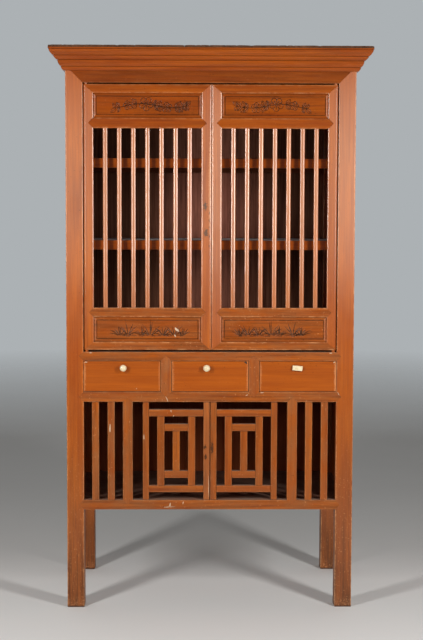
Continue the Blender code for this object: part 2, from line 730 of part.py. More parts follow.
def make_upper_door(side_name, side, waist_rail, top_rail):
    """One slatted door: mitred frame, two mid rails with slats, two raised panels, wooden pivots."""
    outer = HALF_OPENING - DOOR_SIDE_GAP
    width = outer - DOOR_MEETING_GAP / 2 - side * DOOR_MEETING_SHIFT
    low = WAIST_TOP + DOOR_BOTTOM_GAP
    high = TOP_RAIL_LOW - DOOR_TOP_GAP
    front = FRONT + DOOR_SET
    back = front + DOOR_T
    axis = (side * (outer - PIVOT_INSET), front + PIVOT_INSET)
    top_panel_high = high - DOOR_TOP_RAIL_H
    upper_high = top_panel_high - DOOR_TOP_PANEL_H
    upper_low = upper_high - DOOR_UPPER_MID_RAIL_H
    bottom_panel_low = low + DOOR_BOTTOM_RAIL_H
    lower_low = bottom_panel_low + DOOR_BOTTOM_PANEL_H
    lower_high = lower_low + DOOR_LOWER_MID_RAIL_H

    def across(outline):
        """Place an outline drawn from the hinge edge inwards."""
        return [(side * (outer - inwards), height) for inwards, height in outline]

    def frame_slab(outline):
        """Cut one member of the frame from stock of the door's thickness."""
        return slab_mesh(across(outline), "XZ", front, back)

    def notch(rail_low, rail_high):
        """Give the notch in a stile for a mid rail's point."""
        reach = (rail_high - rail_low) / 2 / math.tan(POINT_ANGLE) + GAP
        middle = (rail_low + rail_high) / 2
        inner = DOOR_STILE
        return [(inner, rail_low - GAP), (inner - reach, middle), (inner, rail_high + GAP)]

    stile = [(0.0, low), (DOOR_STILE, bottom_panel_low)]
    stile += notch(lower_low, lower_high) + notch(upper_low, upper_high)
    stile += [(DOOR_STILE, top_panel_high), (0.0, high)]
    hinge_stile = piece(f"hinge_stile_{side_name}", frame_slab(stile))
    opposite = [(width - inwards, height) for inwards, height in stile]
    meeting_stile = piece(f"meeting_stile_{side_name}", frame_slab(opposite))
    inner = DOOR_STILE + GAP
    top = [(GAP, high), (width - GAP, high), (width - inner, top_panel_high), (inner, top_panel_high)]
    door_top = piece(f"door_top_rail_{side_name}", frame_slab(top))
    bottom = [(GAP, low), (width - GAP, low), (width - inner, bottom_panel_low), (inner, bottom_panel_low)]
    door_bottom = piece(f"door_bottom_rail_{side_name}", frame_slab(bottom))

    mid_rails = []
    for rail_low, rail_high in ((lower_low, lower_high), (upper_low, upper_high)):
        mid_rails.append(frame_slab(pointed_outline(inner, width - inner, rail_low, rail_high)))
    grille = piece(f"grille_{side_name}", gathered(mid_rails))
    bars = []
    clear = width - 2 * DOOR_STILE
    space = (clear - BARS_PER_DOOR * BAR_WIDTH) / (BARS_PER_DOOR + 1)
    for number in range(BARS_PER_DOOR):
        inwards = DOOR_STILE + space + BAR_WIDTH / 2 + number * (space + BAR_WIDTH)
        section = bar_section(side * (outer - inwards), front + BAR_SET)
        bars.append(slab_mesh(section, "XY", lower_high - BAR_ROOT, upper_low + BAR_ROOT))
    join(grille, gathered(bars))

    panels = []
    x_low, x_high = ordered(side * (outer - DOOR_STILE), side * (outer - width + DOOR_STILE))
    y_low = front + DOOR_PANEL_SET
    spans = {
        "top": (upper_high, top_panel_high, door_top),
        "bottom": (bottom_panel_low, lower_low, door_bottom),
    }
    for level_name, (sight_low, sight_high, rail) in spans.items():
        panel_low = (x_low - DOOR_PANEL_GROOVE, y_low, sight_low - DOOR_PANEL_GROOVE)
        panel_high = (x_high + DOOR_PANEL_GROOVE, y_low + DOOR_PANEL_T, sight_high + DOOR_PANEL_GROOVE)
        panels.append(raised_panel(f"{level_name}_panel_{side_name}", panel_low, panel_high))
        cut([hinge_stile, meeting_stile, rail, grille], block_mesh(*grown(panel_low, panel_high)))

    waste = rounded_waste(axis, side, low - CUT_PAST, high + CUT_PAST)
    cut([hinge_stile, door_top, door_bottom], waste)
    top_pin = (top_panel_high - TENON_ROOT, TOP_RAIL_LOW + PIVOT_SOCKET)
    bottom_pin = (WAIST_TOP - PIVOT_SOCKET, bottom_panel_low + TENON_ROOT)
    for (pin_low, pin_high), hosts in (
        (top_pin, [door_top, top_rail]),
        (bottom_pin, [door_bottom, waist_rail]),
    ):
        join(hinge_stile, pin_mesh(axis, pin_low, pin_high, PIVOT_R))
        cut(hosts, pin_mesh(axis, pin_low - GAP, pin_high + GAP, PIVOT_R + PIVOT_PLAY))
    pivot = joint_empty(f"upper_door_{side_name}_pivot", (axis[0], axis[1], (low + high) / 2))
    carry(pivot, [hinge_stile, meeting_stile, door_top, door_bottom, grille, *panels])


# Lower doors
def make_lattice_door(side_name, side, bottom_rail, drawer_rail):
    """One barred door of the pot store, with a square fret and horned stiles."""
    outer = mullion_outside() - MULLION - LATTICE_GAP
    width = outer - LATTICE_MEETING_GAP / 2
    low = BOTTOM_TOP + LATTICE_END_GAP
    high = DRAWER_RAIL_LOW - LATTICE_END_GAP
    front = FRONT + LATTICE_SET
    rail_low = low + LATTICE_HORN
    rail_high = high - LATTICE_HORN
    sight_low = rail_low + LATTICE_RAIL
    sight_high = rail_high - LATTICE_RAIL
    inner_low = sight_low + FRET_DROP
    inner_high = sight_high - FRET_DROP
    stile = LATTICE_STILE
    space = (width - 2 * stile - 3 * FRET_STRIP) / 4
    first = stile + space
    middle = first + FRET_STRIP + space
    last = middle + FRET_STRIP + space
    back = front + LATTICE_T

    def window(start, end, bottom, top):
        """Give the shape of one opening of the fret, measured from the pivot edge inwards."""
        x_low, x_high = ordered(side * (outer - start), side * (outer - end))
        return block_mesh((x_low, front - CUT_PAST, bottom), (x_high, back + CUT_PAST, top))

    x_low, x_high = ordered(side * outer, side * (outer - width))
    door = piece(f"lattice_door_{side_name}", block_mesh((x_low, front, low), (x_high, back, high)))
    fret_low = inner_low + FRET_STRIP
    fret_high = inner_high - FRET_STRIP
    windows = [
        window(stile, width - stile, low - CUT_PAST, rail_low),
        window(stile, width - stile, rail_high, high + CUT_PAST),
        window(stile, first, sight_low, sight_high),
        window(last + FRET_STRIP, width - stile, sight_low, sight_high),
        window(first + FRET_STRIP, last, sight_low, inner_low),
        window(first + FRET_STRIP, last, inner_high, sight_high),
        window(first + FRET_STRIP, middle, fret_low, fret_high),
        window(middle + FRET_STRIP, last, fret_low, fret_high),
    ]
    cut([door], gathered(windows))
    axis = (side * (outer - stile / 2), front + LATTICE_T / 2)
    for pin_low, pin_high, host in (
        (BOTTOM_TOP - PIVOT_SOCKET, rail_low, bottom_rail),
        (rail_high, DRAWER_RAIL_LOW + PIVOT_SOCKET, drawer_rail),
    ):
        join(door, pin_mesh(axis, pin_low, pin_high, LATTICE_PIN_R))
        cut([host], pin_mesh(axis, pin_low - GAP, pin_high + GAP, LATTICE_PIN_R + PIVOT_PLAY))
    pivot = joint_empty(f"lower_door_{side_name}_pivot", (axis[0], axis[1], (low + high) / 2))
    carry(pivot, [door])


# Drawers
def knob_profile():
    """Give a knob's half section, (radius, height), from its crown down to the end of its shank."""
    ball_half = KNOB_R * KNOB_FLAT
    neck_angle = math.asin(KNOB_NECK_R / KNOB_R)
    ball_middle = KNOB_NECK_L + ball_half * math.cos(neck_angle)
    points = []
    for step in range(KNOB_STEPS + 1):
        angle = (math.pi - neck_angle) * step / KNOB_STEPS
        points.append((KNOB_R * math.sin(angle), ball_middle + ball_half * math.cos(angle)))
    points += [(KNOB_NECK_R, 0.0), (SHANK_R, 0.0), (SHANK_R, -SHANK_L), (0.0, -SHANK_L)]
    return points


def make_knob(name, place):
    """A turned knob whose shank stands in the drawer front."""
    work = bmesh.new()
    previous = None
    for radius, height in knob_profile():
        vertex = work.verts.new((radius, 0.0, height))
        if previous is not None:
            work.edges.new((previous, vertex))
        previous = vertex
    mesh = bpy.data.meshes.new(name)
    work.to_mesh(mesh)
    work.free()
    knob = piece(name, mesh, IVORY)
    turn = knob.modifiers.new("turned", "SCREW")
    turn.axis = "Z"
    turn.steps = KNOB_SIDES
    turn.render_steps = KNOB_SIDES
    turn.use_merge_vertices = True
    turn.merge_threshold = WELD
    turn.use_smooth_shade = True
    knob.location = place
    knob.rotation_euler = (math.pi / 2, 0.0, 0.0)
    return knob


def chamfered(thing, width):
    """Take the sharp edges off a piece."""
    step = thing.modifiers.new("chamfer", "BEVEL")
    step.width = width
    step.segments = 1
    step.limit_method = "ANGLE"


def make_tray(name, x_low, x_high, y_front):
    """The box behind a drawer front: floor, two sides and a back."""
    low = DRAWER_RAIL_TOP + TRAY_PLAY
    high = low + TRAY_HEIGHT
    y_back = REAR_POST_FRONT - TRAY_BACK_GAP
    tray = piece(name, block_mesh((x_low, y_front, low), (x_high, y_back, high)), DRAWER_WOOD)
    hollow_low = (x_low + TRAY_WALL, y_front - CUT_PAST, low + TRAY_FLOOR)
    hollow_high = (x_high - TRAY_WALL, y_back - TRAY_WALL, high + CUT_PAST)
    cut([tray], block_mesh(hollow_low, hollow_high))
    return tray


def make_drawer(name, number, pull_shift, round_pull):
    """One drawer: front, tray and pull."""
    middle = drawer_middle(number)
    half = DRAWER_OPENING_W / 2 - DRAWER_GAP
    y_low = FRONT + DRAWER_SET
    y_high = y_low + DRAWER_FRONT_T
    face_low = (middle - half, y_low, DRAWER_RAIL_TOP + DRAWER_GAP)
    face_high = (middle + half, y_high, WAIST_LOW - DRAWER_GAP)
    face = piece(f"drawer_front_{name}", block_mesh(face_low, face_high))
    chamfered(face, DRAWER_FRONT_CHAMFER)
    tray_half = DRAWER_OPENING_W / 2 - TRAY_SIDE_GAP
    tray = make_tray(f"drawer_tray_{name}", middle - tray_half, middle + tray_half, y_high + GAP)
    pull_x = middle + pull_shift
    pull_z = WAIST_LOW - PULL_DROP
    if round_pull:
        pull = make_knob(f"knob_{name}", (pull_x, y_low - GAP, pull_z))
        bore = pin_mesh((0.0, 0.0), -SHANK_L - GAP, CUT_PAST, SHANK_R + GAP)
        bore.transform(Matrix.Translation((pull_x, y_low, pull_z)) @ Matrix.Rotation(math.pi / 2, 4, "X"))
        cut([face], bore)
    else:
        half_w = BLOCK_PULL_W / 2
        half_h = BLOCK_PULL_H / 2
        pull_low = (pull_x - half_w, y_low - GAP - BLOCK_PULL_T, pull_z - half_h)
        pull_high = (pull_x + half_w, y_low - GAP, pull_z + half_h)
        pull = piece(f"block_pull_{name}", block_mesh(pull_low, pull_high), IVORY)
        chamfered(pull, BLOCK_PULL_CHAMFER)
    slide = joint_empty(f"drawer_{name}_slide", (middle, y_low, (DRAWER_RAIL_TOP + WAIST_LOW) / 2))
    carry(slide, [face, tray, pull])


def build():
    """Make the whole cupboard."""
    posts = make_posts()
    bottom_rail = make_front_rail("bottom_rail_front", BOTTOM_LOW, BOTTOM_TOP, posts)
    drawer_rail = make_front_rail("drawer_rail", DRAWER_RAIL_LOW, DRAWER_RAIL_TOP, posts)
    waist_rail = make_front_rail("waist_rail", WAIST_LOW, WAIST_TOP, posts)
    top_rail = make_top_rail(posts)
    for side_name, side in (("left", -1), ("right", 1)):
        make_side_frame(side_name, side, posts)
    rear_board_top = WAIST_TOP - BOARD_T - GAP
    rear_low = BOTTOM_TOP - BOARD_T - GAP
    make_rear_rail("bottom_rail_rear", rear_low - REAR_BOTTOM_RAIL_H, rear_low, posts)
    rear_drawer_board = make_rear_rail("rear_drawer_board", DRAWER_RAIL_LOW, rear_board_top, posts)
    make_rear_rail("top_rail_rear", TOP_RAIL_LOW, CROWN_TOP, posts)
    groove_low = (-HALF_OPENING, REAR_POST_FRONT - CUT_PAST, DRAWER_RAIL_TOP - BOARD_T - GAP)
    groove_high = (HALF_OPENING, REAR_POST_FRONT + BED_GROOVE, DRAWER_RAIL_TOP + GAP)
    cut([rear_drawer_board], block_mesh(groove_low, groove_high))
    make_back_panel(posts)
    make_floor_board("bottom_board", BOTTOM_TOP, BACK_PANEL_FRONT - GAP, HALF_WIDTH - SIDE_RAIL_T)
    make_floor_board("waist_board", WAIST_TOP, BACK_PANEL_FRONT - GAP, SIDE_PANEL_INSIDE)
    make_drawer_bed()
    make_shelf("lower_shelf", WAIST_TOP + LOWER_SHELF_UP, posts)
    make_shelf("upper_shelf", WAIST_TOP + UPPER_SHELF_UP, posts)
    make_fixed_bars(drawer_rail, bottom_rail)
    make_dividers(drawer_rail, waist_rail)
    make_crown()
    make_roof()
    for side_name, side in (("left", -1), ("right", 1)):
        make_upper_door(side_name, side, waist_rail, top_rail)
        make_lattice_door(side_name, side, bottom_rail, drawer_rail)
    make_drawer("left", 0, LEFT_KNOB_SHIFT, True)
    make_drawer("middle", 1, MIDDLE_KNOB_SHIFT, True)
    make_drawer("right", 2, RIGHT_PULL_SHIFT, False)


build()
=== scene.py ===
"""Dresses a slatted food cupboard: worn lacquer, carved panels, slats, lattice doors and studio light.

Metres, +Z up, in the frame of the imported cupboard. The front faces -Y.
"""

import json
import math
from functools import cached_property

import bmesh
import bpy
import numpy as np
from bpy.props import FloatProperty, FloatVectorProperty, IntProperty, PointerProperty
from mathutils import Matrix, Vector

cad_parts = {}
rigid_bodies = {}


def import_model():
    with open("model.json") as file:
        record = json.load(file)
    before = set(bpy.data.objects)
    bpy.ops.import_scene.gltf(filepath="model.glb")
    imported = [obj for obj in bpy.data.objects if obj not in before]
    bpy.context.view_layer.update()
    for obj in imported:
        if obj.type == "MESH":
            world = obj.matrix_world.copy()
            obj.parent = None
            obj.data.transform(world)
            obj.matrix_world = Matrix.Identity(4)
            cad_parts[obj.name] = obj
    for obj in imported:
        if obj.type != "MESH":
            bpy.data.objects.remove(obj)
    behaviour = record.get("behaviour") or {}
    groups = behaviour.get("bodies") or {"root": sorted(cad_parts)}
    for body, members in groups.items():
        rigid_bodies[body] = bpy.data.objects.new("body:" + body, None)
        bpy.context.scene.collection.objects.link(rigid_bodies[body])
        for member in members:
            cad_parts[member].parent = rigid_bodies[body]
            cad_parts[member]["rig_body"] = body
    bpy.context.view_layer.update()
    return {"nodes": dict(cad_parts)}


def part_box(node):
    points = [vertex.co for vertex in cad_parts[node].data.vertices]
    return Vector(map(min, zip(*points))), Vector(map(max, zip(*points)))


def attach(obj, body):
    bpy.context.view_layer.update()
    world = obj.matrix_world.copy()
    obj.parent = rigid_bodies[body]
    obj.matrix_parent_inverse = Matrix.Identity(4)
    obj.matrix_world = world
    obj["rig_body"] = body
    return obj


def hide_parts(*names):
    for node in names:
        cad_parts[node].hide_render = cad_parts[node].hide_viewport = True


bl_info = {
    "name": "Slatted Food Cupboard",
    "version": (1, 0, 0),
    "blender": (4, 5, 0),
    "location": "View3D > Sidebar > Cupboard",
    "description": "Dresses the cupboard's fixed frame with worn lacquer, carving, slats and studio light",
    "category": "Object",
}

for old in list(bpy.data.objects):
    bpy.data.objects.remove(old)
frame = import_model()
NODES = frame["nodes"]
COLLECTION = bpy.context.scene.collection

TINY = 0.00005
X, Y, Z = range(3)
AXIS_NAMES = "xyz"
SIDES = (("left", -1), ("right", 1))
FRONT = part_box("bottom_rail_front")[0].y


def linear(red, green, blue):
    """Turn a colour as seen on screen, 0 to 255, into the linear one that shaders take."""
    channels = []
    for value in (red, green, blue):
        share = value / 255
        channels.append(share / 12.92 if share <= 0.04045 else ((share + 0.055) / 1.055) ** 2.4)
    return tuple(channels)


def length(name, description, default):
    """Give a length setting in metres."""
    return FloatProperty(name=name, description=description, default=default, unit="LENGTH", precision=4)


def colour(name, description, *seen):
    """Give a colour setting from the colour as seen on screen."""
    return FloatVectorProperty(
        name=name, description=description, default=linear(*seen), subtype="COLOR", min=0.0, max=1.0
    )


def angle(name, description, degrees):
    """Give an angle setting from degrees."""
    return FloatProperty(name=name, description=description, default=math.radians(degrees), subtype="ANGLE")


def amount(name, description, default, unit="NONE"):
    """Give a setting that isn't below zero."""
    return FloatProperty(name=name, description=description, default=default, min=0.0, unit=unit)


# Settings
class CupboardSizes(bpy.types.PropertyGroup):
    """Sizes of the dressing, the rest comes from the frame."""

    post_arris: length("Post arris", "Radius of the posts' long edges", 0.0035)
    post_ease: length("Post ease", "Width of the flanks along the front posts' front edges", 0.0040)
    post_fall: length("Post fall", "How far those flanks fall back", 0.0016)
    stile_ease: length("Stile ease", "Width of the flanks along the upper doors' front edges", 0.0055)
    stile_fall: length("Stile fall", "How far those flanks fall back", 0.0022)
    rail_arris: length("Rail arris", "Radius of the rails' long edges", 0.0022)
    stile_arris: length("Stile arris", "Radius of the door frames' long edges", 0.0030)
    bar_arris: length("Bar arris", "Radius of the thin bars' long edges", 0.0020)
    board_arris: length("Board arris", "Radius of the boards' edges", 0.0010)
    slat_count: IntProperty(name="Slats", description="Slats in each upper door", default=7, min=1)
    slat_width: length("Slat width", "Width of a slat", 0.015)
    slat_depth: length("Slat depth", "Depth of a slat from front to back", 0.013)
    slat_set: length("Slat set", "How far the slats lie behind the door's face", 0.004)
    slat_flat: length("Slat flat", "Width of the flat along a slat's front", 0.0046)
    slat_root: length("Slat root", "How far a slat's end goes into a mid rail", 0.0002)
    upper_mid_rail: length("Upper mid rail", "Height of the rail over the slats", 0.034)
    lower_mid_rail: length("Lower mid rail", "Height of the rail under the slats", 0.031)
    joint_gap: length("Joint gap", "Gap left at a joint", 0.0004)
    panel_groove: length("Panel groove", "How far a carved panel goes into its frame", 0.006)
    field_margin: length("Field margin", "Flat edge beside a panel's raised field", 0.0008)
    field_slope: length("Field slope", "Width of the slope round a raised field", 0.0095)
    field_rise: length("Field rise", "Height of a raised field above its tongue", 0.006)
    field_step: length("Field step", "Height of a raised field above the flat beside it", 0.0032)
    carving_step: length("Carving step", "Spacing of the points on a carved field", 0.0009)
    carving_depth: length("Carving depth", "Depth of a carved line", 0.0013)
    lattice_gap: length("Lattice gap", "Gap over and under a lattice door", 0.0012)
    lattice_stile: length("Lattice stile", "Width of a lattice door's stile", 0.0205)
    lattice_horn: length("Lattice horn", "Length of the stiles past the lattice rails", 0.025)
    lattice_rail: length("Lattice rail", "Height of a lattice rail", 0.023)
    fret_strip: length("Fret strip", "Width of a strip of the fret", 0.0242)
    fret_drop: length("Fret drop", "Space between a lattice rail and the fret's square", 0.026)
    lattice_pin: length("Lattice pin", "Radius of a lattice door's pivot", 0.005)
    crown_groove: length("Crown groove", "Height of the dark groove between two bands of the crown", 0.0021)
    crown_sink: length("Crown sink", "Depth of those grooves", 0.0026)
    roof_chip: length("Roof chip", "Deepest chip in the roof boards' front edge", 0.0034)
    roof_gap: length("Roof gap", "Gap between two roof boards", 0.0006)
    back_gap: length("Back gap", "Gap between two boards of the back", 0.0006)
    back_lap: length("Back lap", "How far the boards of the back lap over each other", 0.006)
    board_notch: length("Board notch", "Gap between a board and the posts it is notched round", 0.0008)
    shelf_board: length("Shelf board", "Thickness of a shelf's board", 0.012)
    shelf_lip: length("Shelf lip", "Thickness of a shelf's lips", 0.020)
    shelf_rest: length("Shelf rest", "Width of the rebate that a shelf's board lies in", 0.010)
    shelf_step: length("Shelf step", "How far a shelf's lips stand back from its board", 0.001)
    pull_round: length("Pull round", "Radius of the block pull's edges", 0.0018)
    pull_trim: length("Pull trim", "How much the tilted block is trimmed on each side", 0.0012)
    pull_tilt: angle("Pull tilt", "Slant of the block pull", 5.0)
    tray_wall: length("Tray wall", "Thickness of a drawer's sides", 0.010)
    tray_floor: length("Tray floor", "Thickness of a drawer's floor", 0.006)


class CupboardFinish(bpy.types.PropertyGroup):
    """Colours of the finishes, as seen on screen."""

    lacquer_dark: colour("Lacquer, dark grain", "Dark streaks under the lacquer", 136, 54, 4)
    lacquer_light: colour("Lacquer, light grain", "Light wood under the lacquer", 192, 96, 10)
    lacquer_red: colour("Lacquer, red", "Redder patches of old lacquer", 162, 66, 6)
    veil: colour("Veil", "Dull film of dust and smoke on the lacquer", 142, 96, 60)
    worn: colour("Worn edge", "Lacquer rubbed thin on the arrises", 232, 166, 112)
    # Grime is also the colour of painted shade: in corners found by ambient occlusion, and at the sides of
    # the back behind the slats.
    grime_and_shade: colour("Grime", "Old dirt in corners", 46, 20, 9)
    stain: colour("Stain", "Dark spots where hands touch", 52, 30, 18)
    dust: colour("Dust", "Grey dust on faces that look up", 128, 112, 100)
    inside_dark: colour("Inside, dark grain", "Dark stained boards", 80, 34, 16)
    inside_light: colour("Inside, light grain", "Lighter streaks of the stained boards", 132, 76, 50)
    back_dark: colour("Back inside, dark grain", "Dark grain of the back behind the slats", 82, 42, 28)
    back_light: colour("Back inside, light grain", "Light grain of the back behind the slats", 168, 114, 86)
    # Painted light: the paler middle of the back, where the lamps shine in through the slats.
    back_lit_middle: colour("Back inside, rubbed", "Paler middle of the back behind the slats", 196, 122, 102)
    roof_dark: colour("Roof, dark grain", "Smoke-stained roof boards", 66, 40, 26)
    roof_light: colour("Roof, light grain", "Lighter streaks of the roof boards", 112, 76, 54)
    raw_dark: colour("Back, dark grain", "Bare weathered boards of the back and its rails", 88, 66, 48)
    raw_light: colour("Back, light grain", "Lighter streaks of the bare boards", 138, 108, 80)
    bare_dark: colour("Drawer wood, dark grain", "Grain of the drawers' bare wood", 152, 112, 70)
    bare_light: colour("Drawer wood, light grain", "Bare wood of the drawers", 196, 158, 110)
    pigment: colour("Pigment", "Dark colour rubbed into the carving", 24, 13, 4)
    flake: colour("Flake", "Pale wood where the lacquer has flaked off", 222, 190, 158)
    ivory: colour("Ivory", "Pulls", 240, 226, 190)
    ivory_shade: colour("Ivory shade", "Yellowed parts of the pulls", 214, 184, 130)
    floor: colour("Floor", "Plain pale floor", 232, 231, 228)
    front_wall: colour("Front wall", "Plain wall that the object faces", 126, 130, 132)
    backdrop: colour("Backdrop", "Colour behind the cupboard", 172, 177, 180)


class CupboardStage(bpy.types.PropertyGroup):
    """Camera and lights."""

    camera_place: FloatVectorProperty(
        name="Camera place", description="Where the camera stands", default=(-0.0654, -4.8206, 1.3249),
        subtype="TRANSLATION", unit="LENGTH",
    )
    camera_yaw: angle("Yaw", "Turn to the right", 0.870)
    camera_pitch: angle("Pitch", "Tilt down", 4.282)
    camera_roll: angle("Roll", "Lean of the camera", 0.170)
    camera_lens: amount("Lens", "Focal length in millimetres", 76.59, "CAMERA")
    left_power: amount("Left light", "Power of the left light in watts", 27.0, "POWER")
    right_power: amount("Right light", "Power of the right light in watts", 30.0, "POWER")
    top_power: amount("Top light", "Power of the top light in watts", 1.5, "POWER")
    front_sky: amount("Front sky", "Even light from the front", 0.04)
    rear_sky: amount("Rear sky", "Even light from the pale wall behind", 0.42)


# Materials
AMBER = (1.0, 0.84, 0.66, 1.0)
GRAIN_SHIFT = (9.1, 5.3, 7.7)

# Each pattern: how far it is drawn out along the grain, scale, detail, roughness, distortion, start and end
PATTERNS = {
    "figure": (14.0, 26.0, 4.0, 0.60, 0.9),
    "streaks": (40.0, 150.0, 4.0, 0.65, 0.0),
    "pores": (25.0, 520.0, 2.0, 0.60, 0.0),
    "red patches": (3.0, 5.0, 3.0, 0.55, 0.0, 0.42, 0.66),
    "dark patches": (4.0, 6.0, 4.0, 0.55, 0.0, 0.38, 0.68),
    "dark streaks": (22.0, 120.0, 4.0, 0.70, 0.0),
    "clouds": (2.5, 30.0, 8.0, 0.74, 0.0),
    "waves": (4.0, 14.0, 1.0, 0.55, 0.0),
    "rubs": (1.0, 38.0, 5.0, 0.65, 0.0, 0.42, 0.64),
    "flecks": (1.0, 150.0, 3.0, 0.60, 0.0, 0.65, 0.72),
    "pits": (1.0, 190.0, 2.0, 0.50, 0.0, 0.70, 0.76),
    "chips": (1.0, 240.0, 3.0, 0.60, 0.0),
    "scuffs": (1.0, 260.0, 4.0, 0.70, 0.0, 0.52, 0.62),
    "spot rims": (1.0, 170.0, 4.0, 0.70, 0.0, 0.30, 0.70),
    "pigment": (1.0, 60.0, 4.0, 0.55, 0.0, 0.30, 0.58),
    "gloss": (1.0, 9.0, 5.0, 0.60, 0.0, 0.30, 0.70),
    "dry gloss": (1.0, 24.0, 3.0, 0.55, 0.0, 0.30, 0.70),
    "dust": (1.0, 11.0, 5.0, 0.65, 0.0, 0.28, 0.66),
    "ivory lines": (6.0, 700.0, 3.0, 0.55, 0.0),
    "ivory patches": (1.0, 90.0, 3.0, 0.55, 0.0, 0.35, 0.70),
    "bare patches": (1.0, 240.0, 4.0, 0.70, 0.0, 0.30, 0.70),
    "floor clouds": (1.0, 1.3, 4.0, 0.55, 0.0, 0.30, 0.70),
}


class Nodes:
    """A node tree under construction."""

    def __init__(self, tree):
        self.tree = tree

    def feed(self, socket, value):
        """Link a socket to another, or set it to a constant."""
        if isinstance(value, bpy.types.NodeSocket):
            self.tree.links.new(value, socket)
        else:
            socket.default_value = value

    def node(self, kind, inputs=None, **settings):
        """Add a node with its settings and inputs."""
        made = self.tree.nodes.new(kind)
        for key, value in settings.items():
            setattr(made, key, value)
        for key, value in (inputs or {}).items():
            self.feed(made.inputs[key], value)
        return made

    def calc(self, operation, one, two):
        """Join two numbers with a sum."""
        return self.node("ShaderNodeMath", {0: one, 1: two}, operation=operation).outputs[0]

    def plus(self, one, two):
        """Add two numbers."""
        return self.calc("ADD", one, two)

    def times(self, one, two):
        """Multiply two numbers."""
        return self.calc("MULTIPLY", one, two)

    def blend(self, one, share, two):
        """Add two numbers, the first by a share and the second by the rest."""
        return self.plus(self.times(one, share), self.times(two, 1.0 - share))

    def vector(self, operation, one, two):
        """Join two vectors with a sum."""
        return self.node("ShaderNodeVectorMath", {0: one, 1: two}, operation=operation).outputs[0]

    def part(self, vector, letter):
        """Give a vector's X, Y or Z."""
        return self.node("ShaderNodeSeparateXYZ", {0: vector}).outputs[letter]

    def spread(self, value, low, high, start=0.0, end=1.0):
        """Map a number from one range onto another, held inside it."""
        inputs = {"Value": value, "From Min": low, "From Max": high, "To Min": start, "To Max": end}
        return self.node("ShaderNodeMapRange", inputs).outputs["Result"]

    def tint(self, share, one, two):
        """Mix two colours."""
        made = self.node("ShaderNodeMix", {0: share}, data_type="RGBA")
        for socket, value in ((made.inputs[6], one), (made.inputs[7], two)):
            self.feed(socket, value if isinstance(value, bpy.types.NodeSocket) else (*value, 1.0))
        return made.outputs[2]


class Finish(Nodes):
    """A node material under construction."""

    def __init__(self, name):
        self.material = bpy.data.materials.new(name)
        self.material.use_nodes = True
        super().__init__(self.material.node_tree)
        self.shader = self.tree.nodes["Principled BSDF"]
        self.colours = bpy.context.scene.cupboard_finish

    @cached_property
    def raw_place(self):
        """The place on the piece."""
        return self.node("ShaderNodeTexCoord").outputs["Object"]

    @cached_property
    def chance(self):
        """A number by chance for each piece, from 0 to 1."""
        return self.node("ShaderNodeObjectInfo").outputs["Random"]

    @cached_property
    def place(self):
        """The place moved by chance for each piece, so that no two share their grain."""
        shift = self.node("ShaderNodeVectorMath", {0: GRAIN_SHIFT, "Scale": self.chance}, operation="SCALE")
        return self.vector("ADD", self.raw_place, shift.outputs[0])

    @cached_property
    def tall(self):
        """The height above the floor."""
        return self.part(self.raw_place, "Z")

    def noise(self, name, axis=Z, place=None):
        """Give the noise of a named pattern, drawn out along an axis."""
        times, scale, detail, roughness, distortion = PATTERNS[name][:5]
        squeeze = [1.0, 1.0, 1.0]
        squeeze[axis] = 1.0 / times
        inputs = {
            "Vector": self.vector("MULTIPLY", self.place if place is None else place, squeeze),
            "Scale": scale, "Detail": detail, "Roughness": roughness, "Distortion": distortion,
        }
        return self.node("ShaderNodeTexNoise", inputs).outputs["Fac"]

    def pattern(self, name, low=0.0, high=1.0, axis=Z, place=None):
        """Give a named pattern as a number between two others."""
        return self.spread(self.noise(name, axis, place), *PATTERNS[name][5:], low, high)

    def away(self, x, z, wide, high):
        """Give how far a place lies from the middle of a spot, 1 at the spot's rim."""
        apart = self.vector("SUBTRACT", self.raw_place, (x, 0.0, z))
        scaled = self.vector("MULTIPLY", apart, (1.0 / wide, 0.0, 1.0 / high))
        return self.node("ShaderNodeVectorMath", {0: scaled}, operation="LENGTH").outputs["Value"]

    def attribute(self, name):
        """Read a value kept on the mesh."""
        return self.node("ShaderNodeAttribute", attribute_name=name).outputs["Fac"]

    def looking_up(self):
        """Give 1 on faces that look up and 0 on the others."""
        return self.spread(self.part(self.node("ShaderNodeNewGeometry").outputs["Normal"], "Z"), 0.75, 0.97)

    def corners(self, distance):
        """Give 1 deep in corners and 0 in the open, by ambient occlusion: the mask of corner grime, which is
        partly painted shade.
        """
        made = self.node("ShaderNodeAmbientOcclusion", {"Distance": distance}, samples=4)
        return self.spread(made.outputs["AO"], 0.75, 0.25)

    def bump(self, height, strength, distance):
        """Roughen the surface by a height."""
        made = self.node("ShaderNodeBump", {"Height": height, "Strength": strength, "Distance": distance})
        self.feed(self.shader.inputs["Normal"], made.outputs["Normal"])

    def set(self, **sockets):
        """Set or link the shader's own sockets; an underscore stands for a space."""
        for key, value in sockets.items():
            self.feed(self.shader.inputs[key.replace("_", " ")], value)

    def fibres(self, axis, share):
        """Stretch the gloss across the grain, as straight fibres do."""
        along = [0.0, 0.0, 0.0]
        along[axis] = 1.0
        way = {"vector_type": "VECTOR", "convert_from": "OBJECT", "convert_to": "WORLD"}
        fibre = self.node("ShaderNodeVectorTransform", {0: along}, **way)
        self.set(Anisotropic=share, Anisotropic_Rotation=0.25, Tangent=fibre.outputs[0])

    def grain(self, axis, dark, light):
        """Give the colour of plain sawn wood and the height of its grain."""
        streak = self.noise("streaks", axis)
        pore = self.noise("pores", axis)
        tone = self.blend(self.noise("figure", axis), 0.45, streak)
        wood = self.tint(self.spread(tone, 0.37, 0.62), dark, light)
        wood = self.tint(self.spread(pore, 0.42, 0.30, 0.0, 0.45), wood, dark)
        return wood, self.blend(streak, 0.6, pore)

    def spotted(self, wood, x, z, wide, high, tone, strength):
        """Give a colour with a ragged spot on it."""
        rim = self.pattern("spot rims", -0.55, 0.55, place=self.raw_place)
        reach = self.plus(self.away(x, z, wide, high), rim)
        return self.tint(self.spread(reach, 1.0, 0.55, 0.0, strength), wood, getattr(self.colours, tone))


